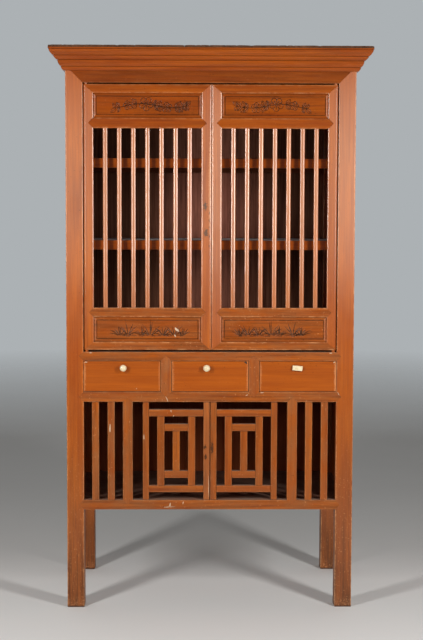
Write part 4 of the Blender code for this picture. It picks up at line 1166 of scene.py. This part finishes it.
def leaf(base, turn, size):
    """Give the two edges and the shorter midrib of a leaf."""
    share = np.linspace(0.0, 1.0, 9)
    bow = np.sin(share * math.pi) * size * 0.28
    lines = ((-1, 1.0), (0, 0.82), (1, 1.0))
    return [turned(base, share * size * reach, bow * side, turn) for side, reach in lines]


def blossom(middle, size, turn):
    """Give a blossom's petals with a ring and rays in its middle."""
    lines = [arc(middle, size * 0.22, 0.0, 1.0)]
    rays = np.linspace(0.3, 0.62, 3)[:, None] * size
    for petal in range(PETALS):
        heading = turn + petal * math.tau / PETALS
        way = np.array([math.cos(heading), math.sin(heading)])
        lines.append(arc(middle + way * size * 0.62, size * 0.40, -0.36, 0.36, turn=heading))
        lines.append(middle + rays * way)
    return lines


def blade(base, turn, bend, size, wide):
    """Give the middle line of a bent blade and its tapering half width."""
    share = np.linspace(0.0, 1.0, 12)
    heading = turn + bend * share
    step = size / (len(share) - 1)
    path = np.cumsum(np.stack([np.cos(heading), np.sin(heading)], 1) * step, 0) + np.array(base)
    return path, wide * np.sin(np.pi * (0.12 + 0.86 * share)) ** 0.8


def blossom_branch(half, tall):
    """A bough with blossoms between leaves, for the top panels."""
    chance = np.random.default_rng(BRANCH_SEED)
    along = np.linspace(-0.84, 0.66, 60)
    rise = 0.30 * np.sin(along * 4.6 + 0.9) - 0.12 * along - 0.05
    bough = np.stack([along * half, rise * tall], 1)
    lines = [(bough, BOUGH_CUT)]
    for share, size, turn in BLOSSOMS:
        near = bough[np.argmin(abs(along - share))]
        lines += [(line, BLOSSOM_CUT) for line in blossom(near, size, turn)]
    for number, share in enumerate(np.linspace(-0.82, 0.66, LEAVES)):
        if min(abs(share - place) - size / half for place, size, _ in BLOSSOMS) < 0.02:
            continue
        base = bough[np.argmin(abs(along - share))]
        for side in (-1, 1):
            turn = side * chance.uniform(0.7, 1.3) + (math.pi if share < 0 else 0.0)
            size = chance.uniform(0.017, 0.024)
            lines += [(line, LEAF_CUT) for line in leaf(base, turn, size)]
            if number % 2:
                lines.append(blade(base, turn, 0.1 * side, 0.8 * size, 0.0018))
    return lines


def grass_tufts(half, tall):
    """Tufts of long bent grass over a stony bank, for the bottom panels."""
    chance = np.random.default_rng(BANK_SEED)
    lines = []
    for share, reach in TUFTS:
        root = np.array([share * half, -0.82 * tall])
        for number in range(BLADES):
            lean = (number - 3) * 0.30 + chance.uniform(-0.12, 0.12)
            size = reach * tall * chance.uniform(0.95, 1.45) * (1.0 - 0.10 * abs(lean))
            start = root + np.array([0.004 * (number - 3) / 3, 0.0])
            bend = -lean * chance.uniform(0.5, 1.1) - 0.25
            lines.append(blade(start, math.pi / 2 - lean, bend, size, chance.uniform(0.0013, 0.0021)))
    for _ in range(STONES):
        middle = (chance.uniform(-0.86, 0.72) * half, chance.uniform(-0.95, -0.80) * tall)
        lines.append((arc(middle, chance.uniform(0.002, 0.005), 0.0, 0.5, 0.6, steps=6), STONE_CUT))
    return lines


def carve(us, vs, lines):
    """Give how deep each point of a field is cut by some lines, from 0 to 1."""
    depth = np.zeros((len(us), len(vs)))
    for points, width in lines:
        widths = np.broadcast_to(width, len(points))
        for one, two, thick in zip(points[:-1], points[1:], widths[1:]):
            reach = max(thick, LEAST_CUT)
            low = np.minimum(one, two) - reach
            high = np.maximum(one, two) + reach
            left, right = np.searchsorted(us, (low[0], high[0]))
            under, over = np.searchsorted(vs, (low[1], high[1]))
            if left == right or under == over:
                continue
            u, v = np.meshgrid(us[left:right], vs[under:over], indexing="ij")
            run = two - one
            share = ((u - one[0]) * run[0] + (v - one[1]) * run[1]) / max(run @ run, 1e-12)
            share = np.clip(share, 0.0, 1.0)
            gap = np.hypot(u - one[0] - share * run[0], v - one[1] - share * run[1])
            cut = np.sqrt(np.clip(1.0 - (gap / reach) ** 2, 0.0, 1.0))
            depth[left:right, under:over] = np.maximum(depth[left:right, under:over], cut)
    return depth


def field_lines(low, high, sizes):
    """Give the grid lines across one side of a panel, fine over its raised field."""
    edge = sizes.panel_groove + sizes.field_margin
    outer = np.array([0.0, sizes.panel_groove, sizes.panel_groove + TINY, edge])
    slope = edge + np.linspace(0.0, 1.0, 5)[1:-1] * sizes.field_slope
    start = low + edge + sizes.field_slope
    end = high - edge - sizes.field_slope
    inner = np.linspace(start, end, int((end - start) / sizes.carving_step))
    return np.concatenate([low + outer, low + slope, inner, high - slope[::-1], high - outer[::-1]])


def panel_shape(front, depth, back):
    """Give a panel whose front is a grid of points."""
    wide, tall = front.shape[:2]
    number = np.arange(wide * tall).reshape(wide, tall)
    quads = np.stack([number[:-1, :-1], number[1:, :-1], number[1:, 1:], number[:-1, 1:]], 2).reshape(-1, 4)
    rim = np.concatenate([number[:-1, 0], number[-1, :-1], number[:0:-1, -1], number[0, :0:-1]])
    points = front.reshape(-1, 3)
    behind = points[rim].copy()
    behind[:, Y] = back
    hidden = np.arange(len(rim)) + len(points)
    sides = np.stack([rim, hidden, np.roll(hidden, -1), np.roll(rim, -1)], 1)
    faces = quads.tolist() + sides.tolist() + [hidden.tolist()]
    mesh = bpy.data.meshes.new("carved")
    mesh.from_pydata(np.concatenate([points, behind]).tolist(), [], faces)
    work = bmesh.new()
    work.from_mesh(mesh)
    bpy.data.meshes.remove(mesh)
    layer = work.verts.layers.float.new("carved")
    work.verts.ensure_lookup_table()
    for vert, value in zip(work.verts, depth.reshape(-1)):
        vert[layer] = value
    bmesh.ops.recalc_face_normals(work, faces=work.faces)
    return work


def make_carved_panels(sizes):
    """Raised panels with incised sprays and an incised border."""
    edge = sizes.panel_groove + sizes.field_margin + sizes.field_slope
    for side, way in SIDES:
        for level, spray in (("top", blossom_branch), ("bottom", grass_tufts)):
            node = f"{level}_panel_{side}"
            low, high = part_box(node)
            us = field_lines(low.x, high.x, sizes)
            vs = field_lines(low.z, high.z, sizes)
            middle = (low + high) / 2
            half = (high.x - low.x) / 2 - edge
            tall = (high.z - low.z) / 2 - edge
            corners = np.array([(-1, -1), (1, -1), (1, 1), (-1, 1), (-1, -1)])
            border = corners * (half - BORDER_SET, tall - BORDER_SET)
            lines = spray(half - SPRAY_MARGIN[0], tall - SPRAY_MARGIN[1])
            lines = [(line * np.array([way, 1.0]), width) for line, width in lines] + [(border, LEAF_CUT)]
            depth = carve(us - middle.x, vs - middle.z, lines)
            u, v = np.meshgrid(us, vs, indexing="ij")
            inset = np.minimum(np.minimum(u - low.x, high.x - u), np.minimum(v - low.z, high.z - v))
            fall = np.clip((edge - inset) / sizes.field_slope, 0.0, 1.0) * sizes.field_step
            fall[inset < sizes.panel_groove + TINY / 2] = sizes.field_rise
            y = low.y + fall + sizes.carving_depth * depth
            work = panel_shape(np.stack([u, y, v], 2), depth, high.y)
            shown(f"carved_{node}", work, f"lacquer_{level}_panel", f"upper_{side}_door", [node])


# Lattice doors
TOUCHED = {
    "left": ((-0.0168, 0.5516, 0.006, 0.009, "stain", 0.85), (-0.0150, 0.5173, 0.006, 0.010, "stain", 0.85)),
    "right": ((0.0075, 0.5480, 0.0055, 0.026, "stain", 0.85),),
}
PIN_SIDES = 32


def lattice_bars(sizes, width, bottom, top):
    """Give each bar of a lattice door as its start and end from the pivot side, its foot and its top."""
    stile, strip, gap = sizes.lattice_stile, sizes.fret_strip, sizes.joint_gap
    rails = (bottom + sizes.lattice_horn, top - sizes.lattice_horn)
    sight = (rails[0] + sizes.lattice_rail, rails[1] - sizes.lattice_rail)
    square = (sight[0] + sizes.fret_drop, sight[1] - sizes.fret_drop)
    space = (width - 2 * stile - 3 * strip) / 4
    outer, middle, inner = (stile + space + number * (strip + space) for number in range(3))
    return {
        "pivot_stile": (0.0, stile, bottom, top),
        "meeting_stile": (width - stile, width, bottom, top),
        "bottom_rail": (stile + gap, width - stile - gap, rails[0], sight[0]),
        "top_rail": (stile + gap, width - stile - gap, sight[1], rails[1]),
        "outer_strip": (outer, outer + strip, sight[0] + gap, sight[1] - gap),
        "inner_strip": (inner, inner + strip, sight[0] + gap, sight[1] - gap),
        "low_cross": (outer + strip + gap, inner - gap, square[0], square[0] + strip),
        "high_cross": (outer + strip + gap, inner - gap, square[1] - strip, square[1]),
        "middle_strip": (middle, middle + strip, square[0] + strip + gap, square[1] - strip - gap),
    }


def add_pivots(work, x, y, ends, radius):
    """Add the round pivots at both ends of a lattice stile."""
    for near, far in ends:
        made = bmesh.ops.create_cone(
            work, cap_ends=True, segments=PIN_SIDES, radius1=radius, radius2=radius, depth=abs(far - near)
        )
        bmesh.ops.translate(work, vec=(x, y, (near + far) / 2), verts=made["verts"])


def make_lattice(sizes):
    """The two barred doors of the pot store, each of nine bars."""
    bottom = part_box("bottom_rail_front")[1].z + sizes.lattice_gap
    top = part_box("drawer_rail")[0].z - sizes.lattice_gap
    for side, way in SIDES:
        node = f"lattice_door_{side}"
        low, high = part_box(node)
        middle = (low.y + high.y) / 2
        outer = max(abs(low.x), abs(high.x))
        for name, (start, end, under, over) in lattice_bars(sizes, high.x - low.x, bottom, top).items():
            left, right = sorted((way * (outer - start), way * (outer - end)))
            work = block((left, low.y, under), (right, high.y, over))
            rounded(work, arrises(work, grain_axis(work)), sizes.bar_arris)
            kind, spots = "lacquer_lattice", ()
            if name == "pivot_stile":
                ends = ((under, low.z), (over, high.z))
                add_pivots(work, (left + right) / 2, middle, ends, sizes.lattice_pin)
            if name == "meeting_stile":
                kind, spots = f"lacquer_touched_{side}", TOUCHED[side]
            shown(f"lattice_{name}_{side}", work, kind, f"lower_{side}_door", [node], spots=spots)


# Drawers
# Painted highlights at the ends of the drawer fronts, in the worn colour: half width, half height, and each
# drawer's strength at its left and right end
HIGHLIGHT_WIDE = 0.0075
HIGHLIGHT_HIGH = 0.075
END_HIGHLIGHTS = {"left": (0.30, 0.16), "middle": (0.26, 0.26), "right": (0.24, 0.46)}
FRONT_RUB = 0.3


def make_drawers(sizes):
    """Drawer fronts, with painted highlights at their ends, and the trays behind them."""
    wall, gap = sizes.tray_wall, sizes.joint_gap
    for name, end_highlights in END_HIGHLIGHTS.items():
        body = f"{name}_drawer"
        node = f"drawer_front_{name}"
        work = rubbed(node_copy(node), FRONT_RUB, lambda normal: -0.95 < normal.y < -0.3)
        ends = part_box(node)
        tall = (ends[0].z + ends[1].z) / 2
        # Painted highlights on the ends of the drawer front.
        spots = [(end.x, tall, HIGHLIGHT_WIDE, HIGHLIGHT_HIGH, "worn", share) for end, share in zip(ends, end_highlights)]
        shown(f"finished_{node}", work, f"lacquer_drawer_{name}", body, [node], spots=spots)
        node = f"drawer_tray_{name}"
        low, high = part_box(node)
        floor = low.z + sizes.tray_floor
        boards = {
            "floor": ((low.x, low.y, low.z), (high.x, high.y, floor)),
            "left_side": ((low.x, low.y, floor + gap), (low.x + wall, high.y, high.z)),
            "right_side": ((high.x - wall, low.y, floor + gap), (high.x, high.y, high.z)),
            "back": ((low.x + wall + gap, high.y - wall, floor + gap), (high.x - wall - gap, high.y, high.z)),
        }
        for part, (start, end) in boards.items():
            bar(f"tray_{part}_{name}", start, end, sizes.board_arris, "bare", body, [node])


KNOB_STEPS = 22
KNOB_TURNS = 48
KNOB_NECK = 0.0062
KNOB_NECK_LENGTH = 0.0052
# A knob's pin and collar: radius, and how far in front of the drawer's face
KNOB_FOOT = (
    (0.0, -0.012), (0.004, -0.012), (0.004, TINY), (KNOB_NECK + 0.0018, TINY), (KNOB_NECK + 0.0012, 0.0016),
    (KNOB_NECK, 0.0030),
)
KNOB_START = -0.32 * math.pi
KNOB_SWEEP = 0.82 * math.pi


def make_knobs():
    """Two turned knobs."""
    for name in ("left", "middle"):
        node = f"knob_{name}"
        low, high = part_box(node)
        middle = (low + high) / 2
        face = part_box(f"drawer_front_{name}")[0].y
        radius = (high.x - low.x) / 2
        swell = face - low.y - KNOB_NECK_LENGTH
        profile = [(across, face - ahead) for across, ahead in KNOB_FOOT]
        for step in range(KNOB_STEPS + 1):
            lean = KNOB_START + KNOB_SWEEP * step / KNOB_STEPS
            across = radius * math.cos(lean) if step < KNOB_STEPS else 0.0
            profile.append((across, low.y + swell * (1 - math.sin(lean)) / 2))
        work = bmesh.new()
        points = [work.verts.new((middle.x + across, y, middle.z)) for across, y in profile]
        edges = [work.edges.new(pair) for pair in zip(points[:-1], points[1:])]
        bmesh.ops.spin(
            work, geom=points + edges, cent=(middle.x, 0.0, middle.z), axis=(0, 1, 0), angle=math.tau,
            steps=KNOB_TURNS, use_merge=True,
        )
        bmesh.ops.remove_doubles(work, verts=work.verts, dist=TINY / 5)
        bmesh.ops.recalc_face_normals(work, faces=work.faces)
        shown(f"turned_{node}", work, "ivory", f"{name}_drawer", [node])


def make_block_pull(sizes):
    """One rounded block, a little askew."""
    node = "block_pull_right"
    low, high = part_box(node)
    middle = (low + high) / 2
    trim = Vector((sizes.pull_trim, 0.0, sizes.pull_trim))
    work = block(low + trim, high - trim)
    rounded(work, list(work.edges), sizes.pull_round, FINE_STEPS)
    tilt = Matrix.Rotation(sizes.pull_tilt, 4, "Y")
    askew = Matrix.Translation(middle) @ tilt @ Matrix.Translation(-middle)
    bmesh.ops.transform(work, verts=work.verts, matrix=askew)
    shown(f"rounded_{node}", work, "ivory", "right_drawer", [node])


# Wear
MARK_CORNERS = 11
MARK_SEED = 31
PROUD = 0.00015
SUNK = 0.0004
# Each mark: the piece it lies on, its kind, where its middle lies, its length, width and slope in degrees
MARKS = (
    ("bottom_rail_front", "flake", -0.1352, 0.3526, 0.016, 0.0040, 80),
    ("bottom_rail_front", "flake", -0.0910, 0.3594, 0.012, 0.0030, 75),
    ("bottom_rail_front", "flake", -0.1380, 0.3462, 0.046, 0.0014, 2),
    ("bottom_rail_front", "flake", -0.1470, 0.3448, 0.020, 0.0012, 0),
    ("drawer_rail", "flake", -0.1463, 0.7160, 0.024, 0.0024, -65),
    ("thin_bar_inner_left", "flake", -0.3380, 0.6163, 0.030, 0.0046, 88),
    ("lattice_door_left", "flake", -0.2235, 0.5856, 0.020, 0.0034, 90),
    ("lattice_door_left", "flake", -0.1320, 0.6740, 0.009, 0.0028, 100),
    ("lattice_door_left", "flake", -0.1235, 0.6573, 0.006, 0.0026, 60),
    ("lattice_door_left", "flake", -0.0042, 0.4150, 0.078, 0.0018, 90),
    ("drawer_front_left", "flake", -0.4180, 0.8400, 0.010, 0.0036, 5),
    ("drawer_front_left", "flake", -0.2484, 0.7507, 0.006, 0.0022, 80),
    ("drawer_front_middle", "dirt", 0.1210, 0.8385, 0.012, 0.0065, 150),
    ("meeting_stile_left", "dirt", -0.0042, 1.3417, 0.010, 0.0022, 84),
    ("meeting_stile_left", "dirt", -0.0050, 1.3163, 0.008, 0.0026, 100),
    ("meeting_stile_left", "dirt", -0.0044, 1.2940, 0.007, 0.0018, 80),
    ("meeting_stile_left", "dirt", -0.0040, 1.2629, 0.012, 0.0022, 94),
    ("meeting_stile_left", "dirt", -0.0046, 1.2318, 0.008, 0.0020, 86),
    ("drawer_front_right", "flake", 0.4190, 0.8403, 0.008, 0.0030, 35),
    ("post_front_right", "flake", 0.4345, 0.7325, 0.014, 0.0020, -63),
    ("drawer_rail", "flake", 0.1753, 0.7372, 0.014, 0.0022, 4),
    ("drawer_rail", "flake", 0.1247, 0.7290, 0.010, 0.0020, 20),
    ("waist_rail", "flake", -0.4026, 0.8715, 0.012, 0.0030, 5),
    ("waist_rail", "flake", 0.4071, 0.8715, 0.010, 0.0030, -4),
    ("bottom_panel_left", "flake", -0.1120, 0.9495, 0.020, 0.0080, -45),
    ("bottom_panel_left", "flake", -0.1190, 0.9300, 0.012, 0.0040, -55),
)


def make_marks():
    """Flakes, scratches and dents that the cupboard has picked up."""
    chance = np.random.default_rng(MARK_SEED)
    angles = np.arange(MARK_CORNERS) / MARK_CORNERS * math.tau
    for number, (node, kind, x, z, long, wide, slope) in enumerate(MARKS):
        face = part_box(node)[0].y
        reach = chance.uniform(0.62, 1.12, MARK_CORNERS) / 2
        across = np.cos(angles) * reach * long
        up = np.sin(angles) * reach * wide
        outline = turned((x, z), across, up, math.radians(slope))
        rings = [[(u, y, v) for u, v in outline] for y in (face - PROUD, face + SUNK)]
        shown(f"{kind}_{number + 1}", loft(rings), kind, NODES[node]["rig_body"], axis=Z)


# Stage
FLOOR_RADIUS = 14.0
FLOOR_SIDES = 96
FLOOR_FADE = (3.5, 9.0)
LIGHT_AIM = Vector((0.0, FRONT, 1.0))
LIGHT_SPREAD = math.radians(150.0)
# Each light: where it stands, its width and its height
LIGHTS = {
    "left": ((-1.6, -2.05, 1.5), (0.3, 0.95)),
    "right": ((1.6, -2.05, 1.5), (0.3, 0.95)),
    "top": ((0.0, -2.4, 3.4), (2.4, 1.2)),
}
SENSOR_WIDTH = 36.0


def floor_material():
    """Pale floor that fades into the backdrop far away."""
    made = Finish("pale_floor")
    cloud = made.pattern("floor clouds", 0.0, 0.35, place=made.raw_place)
    darker = tuple(0.93 * channel for channel in made.colours.floor)
    made.set(Base_Color=made.tint(cloud, made.colours.floor, darker))
    made.set(Roughness=made.spread(cloud, 0.0, 0.35, 0.75, 0.9), Specular_IOR_Level=0.1)
    away = made.node("ShaderNodeVectorMath", {0: made.raw_place}, operation="LENGTH").outputs["Value"]
    clear = made.node("ShaderNodeBsdfTransparent").outputs[0]
    shares = {0: made.spread(away, *FLOOR_FADE), 1: made.shader.outputs[0], 2: clear}
    fade = made.node("ShaderNodeMixShader", shares)
    made.feed(made.tree.nodes["Material Output"].inputs["Surface"], fade.outputs[0])
    return made.material


def make_floor():
    """Plain pale floor."""
    mesh = bpy.data.meshes.new("floor")
    work = bmesh.new()
    bmesh.ops.create_circle(work, cap_ends=True, radius=FLOOR_RADIUS, segments=FLOOR_SIDES)
    work.to_mesh(mesh)
    work.free()
    floor = bpy.data.objects.new("floor", mesh)
    COLLECTION.objects.link(floor)
    mesh.materials.append(floor_material())


def make_world(stage, finish):
    """Even light, more of it from behind, and plain walls for what is seen or mirrored."""
    world = bpy.data.worlds.new("studio")
    bpy.context.scene.world = world
    world.use_nodes = True
    made = Nodes(world.node_tree)
    depth = made.part(made.node("ShaderNodeTexCoord").outputs["Generated"], "Y")
    sky = made.tree.nodes["Background"]
    made.feed(sky.inputs["Color"], (1.0, 1.0, 1.0, 1.0))
    made.feed(sky.inputs["Strength"], made.spread(depth, -0.2, 0.6, stage.front_sky, stage.rear_sky))
    wall = made.tint(made.spread(depth, -0.7, 0.3), finish.front_wall, finish.backdrop)
    seen = made.node("ShaderNodeBackground", {"Color": wall})
    rays = made.node("ShaderNodeLightPath").outputs
    share = made.calc("MAXIMUM", rays["Is Camera Ray"], rays["Is Glossy Ray"])
    share = made.calc("MAXIMUM", share, rays["Is Transmission Ray"])
    mix = made.node("ShaderNodeMixShader", {0: share, 1: sky.outputs[0], 2: seen.outputs[0]})
    made.feed(made.tree.nodes["World Output"].inputs["Surface"], mix.outputs[0])


def make_lights(stage):
    """Three soft lights that the camera doesn't see."""
    for side, (place, size) in LIGHTS.items():
        name = f"{side}_light"
        lamp = bpy.data.lights.new(name, "AREA")
        lamp.shape = "RECTANGLE"
        lamp.size, lamp.size_y = size
        lamp.energy = getattr(stage, f"{side}_power")
        lamp.spread = LIGHT_SPREAD
        thing = bpy.data.objects.new(name, lamp)
        thing.location = place
        thing.rotation_euler = (LIGHT_AIM - Vector(place)).to_track_quat("-Z", "Y").to_euler()
        thing.visible_camera = False
        COLLECTION.objects.link(thing)


def make_camera(stage):
    """The camera that looks at the cupboard's front."""
    camera = bpy.data.cameras.new("camera")
    camera.sensor_width = SENSOR_WIDTH
    camera.lens = stage.camera_lens
    thing = bpy.data.objects.new("camera", camera)
    COLLECTION.objects.link(thing)
    turn = Matrix.Rotation(-stage.camera_yaw, 4, "Z")
    tilt = Matrix.Rotation(math.pi / 2 - stage.camera_pitch, 4, "X")
    roll = Matrix.Rotation(stage.camera_roll, 4, "Z")
    thing.matrix_world = Matrix.Translation(stage.camera_place) @ turn @ tilt @ roll
    bpy.context.scene.camera = thing


# Operators
class CUPBOARD_OT_posts(bpy.types.Operator):
    """Finish the four posts"""

    bl_idname = "cupboard.posts"
    bl_label = "Posts"

    def execute(self, context):
        make_posts(context.scene.cupboard_sizes)
        return {"FINISHED"}


class CUPBOARD_OT_rails(bpy.types.Operator):
    """Finish the rails of the carcass"""

    bl_idname = "cupboard.rails"
    bl_label = "Rails"

    def execute(self, context):
        make_rails(context.scene.cupboard_sizes)
        return {"FINISHED"}


class CUPBOARD_OT_uprights(bpy.types.Operator):
    """Finish the fixed bars, mullions and dividers"""

    bl_idname = "cupboard.uprights"
    bl_label = "Bars and Dividers"

    def execute(self, context):
        make_uprights(context.scene.cupboard_sizes)
        return {"FINISHED"}


class CUPBOARD_OT_crown(bpy.types.Operator):
    """Make the crown moulding and the roof boards"""

    bl_idname = "cupboard.crown"
    bl_label = "Crown and Roof"

    def execute(self, context):
        make_crown(context.scene.cupboard_sizes)
        make_roof(context.scene.cupboard_sizes)
        return {"FINISHED"}


class CUPBOARD_OT_boards(bpy.types.Operator):
    """Finish the panels, back, floors and shelves"""

    bl_idname = "cupboard.boards"
    bl_label = "Panels and Shelves"

    def execute(self, context):
        make_panels(context.scene.cupboard_sizes)
        make_boards(context.scene.cupboard_sizes)
        make_shelves(context.scene.cupboard_sizes)
        return {"FINISHED"}


class CUPBOARD_OT_door_frames(bpy.types.Operator):
    """Finish the frames of the upper doors"""

    bl_idname = "cupboard.door_frames"
    bl_label = "Upper Door Frames"

    def execute(self, context):
        make_door_frames(context.scene.cupboard_sizes)
        return {"FINISHED"}


class CUPBOARD_OT_slats(bpy.types.Operator):
    """Make the slats of the upper doors"""

    bl_idname = "cupboard.slats"
    bl_label = "Slats"

    def execute(self, context):
        make_slats(context.scene.cupboard_sizes)
        return {"FINISHED"}


class CUPBOARD_OT_carving(bpy.types.Operator):
    """Carve the panels of the upper doors"""

    bl_idname = "cupboard.carving"
    bl_label = "Carved Panels"

    def execute(self, context):
        make_carved_panels(context.scene.cupboard_sizes)
        return {"FINISHED"}


class CUPBOARD_OT_lattice(bpy.types.Operator):
    """Make the lattice doors"""

    bl_idname = "cupboard.lattice"
    bl_label = "Lattice Doors"

    def execute(self, context):
        make_lattice(context.scene.cupboard_sizes)
        return {"FINISHED"}


class CUPBOARD_OT_drawers(bpy.types.Operator):
    """Make the drawers and their pulls"""

    bl_idname = "cupboard.drawers"
    bl_label = "Drawers and Pulls"

    def execute(self, context):
        make_drawers(context.scene.cupboard_sizes)
        make_knobs()
        make_block_pull(context.scene.cupboard_sizes)
        return {"FINISHED"}


class CUPBOARD_OT_marks(bpy.types.Operator):
    """Add flakes, scratches and dents"""

    bl_idname = "cupboard.marks"
    bl_label = "Wear Marks"

    def execute(self, context):
        make_marks()
        return {"FINISHED"}


class CUPBOARD_OT_stage(bpy.types.Operator):
    """Set the floor, the lights and the camera"""

    bl_idname = "cupboard.stage"
    bl_label = "Stage"

    def execute(self, context):
        context.scene.view_settings.view_transform = "Standard"
        make_floor()
        make_world(context.scene.cupboard_stage, context.scene.cupboard_finish)
        make_lights(context.scene.cupboard_stage)
        make_camera(context.scene.cupboard_stage)
        return {"FINISHED"}


STEPS = (
    CUPBOARD_OT_stage, CUPBOARD_OT_posts, CUPBOARD_OT_rails, CUPBOARD_OT_uprights, CUPBOARD_OT_crown,
    CUPBOARD_OT_boards, CUPBOARD_OT_door_frames, CUPBOARD_OT_slats, CUPBOARD_OT_carving, CUPBOARD_OT_lattice,
    CUPBOARD_OT_drawers, CUPBOARD_OT_marks,
)


class CUPBOARD_PT_panel(bpy.types.Panel):
    """Lists the cupboard's makers"""

    bl_idname = "CUPBOARD_PT_panel"
    bl_label = "Food Cupboard"
    bl_space_type = "VIEW_3D"
    bl_region_type = "UI"
    bl_category = "Cupboard"

    def draw(self, context):
        for step in STEPS:
            self.layout.operator(step.bl_idname)


GROUPS = (CupboardSizes, CupboardFinish, CupboardStage)


def register():
    """Register the settings, the makers and the panel."""
    for group in (*GROUPS, *STEPS, CUPBOARD_PT_panel):
        bpy.utils.register_class(group)
    bpy.types.Scene.cupboard_sizes = PointerProperty(type=CupboardSizes)
    bpy.types.Scene.cupboard_finish = PointerProperty(type=CupboardFinish)
    bpy.types.Scene.cupboard_stage = PointerProperty(type=CupboardStage)


def unregister():
    """Take everything back."""
    del bpy.types.Scene.cupboard_stage
    del bpy.types.Scene.cupboard_finish
    del bpy.types.Scene.cupboard_sizes
    for group in (CUPBOARD_PT_panel, *reversed(STEPS), *reversed(GROUPS)):
        bpy.utils.unregister_class(group)


def main():
    """Make every piece in order."""
    register()
    for step in STEPS:
        family, name = step.bl_idname.split(".")
        getattr(getattr(bpy.ops, family), name)()


if __name__ == "__main__":
    main()
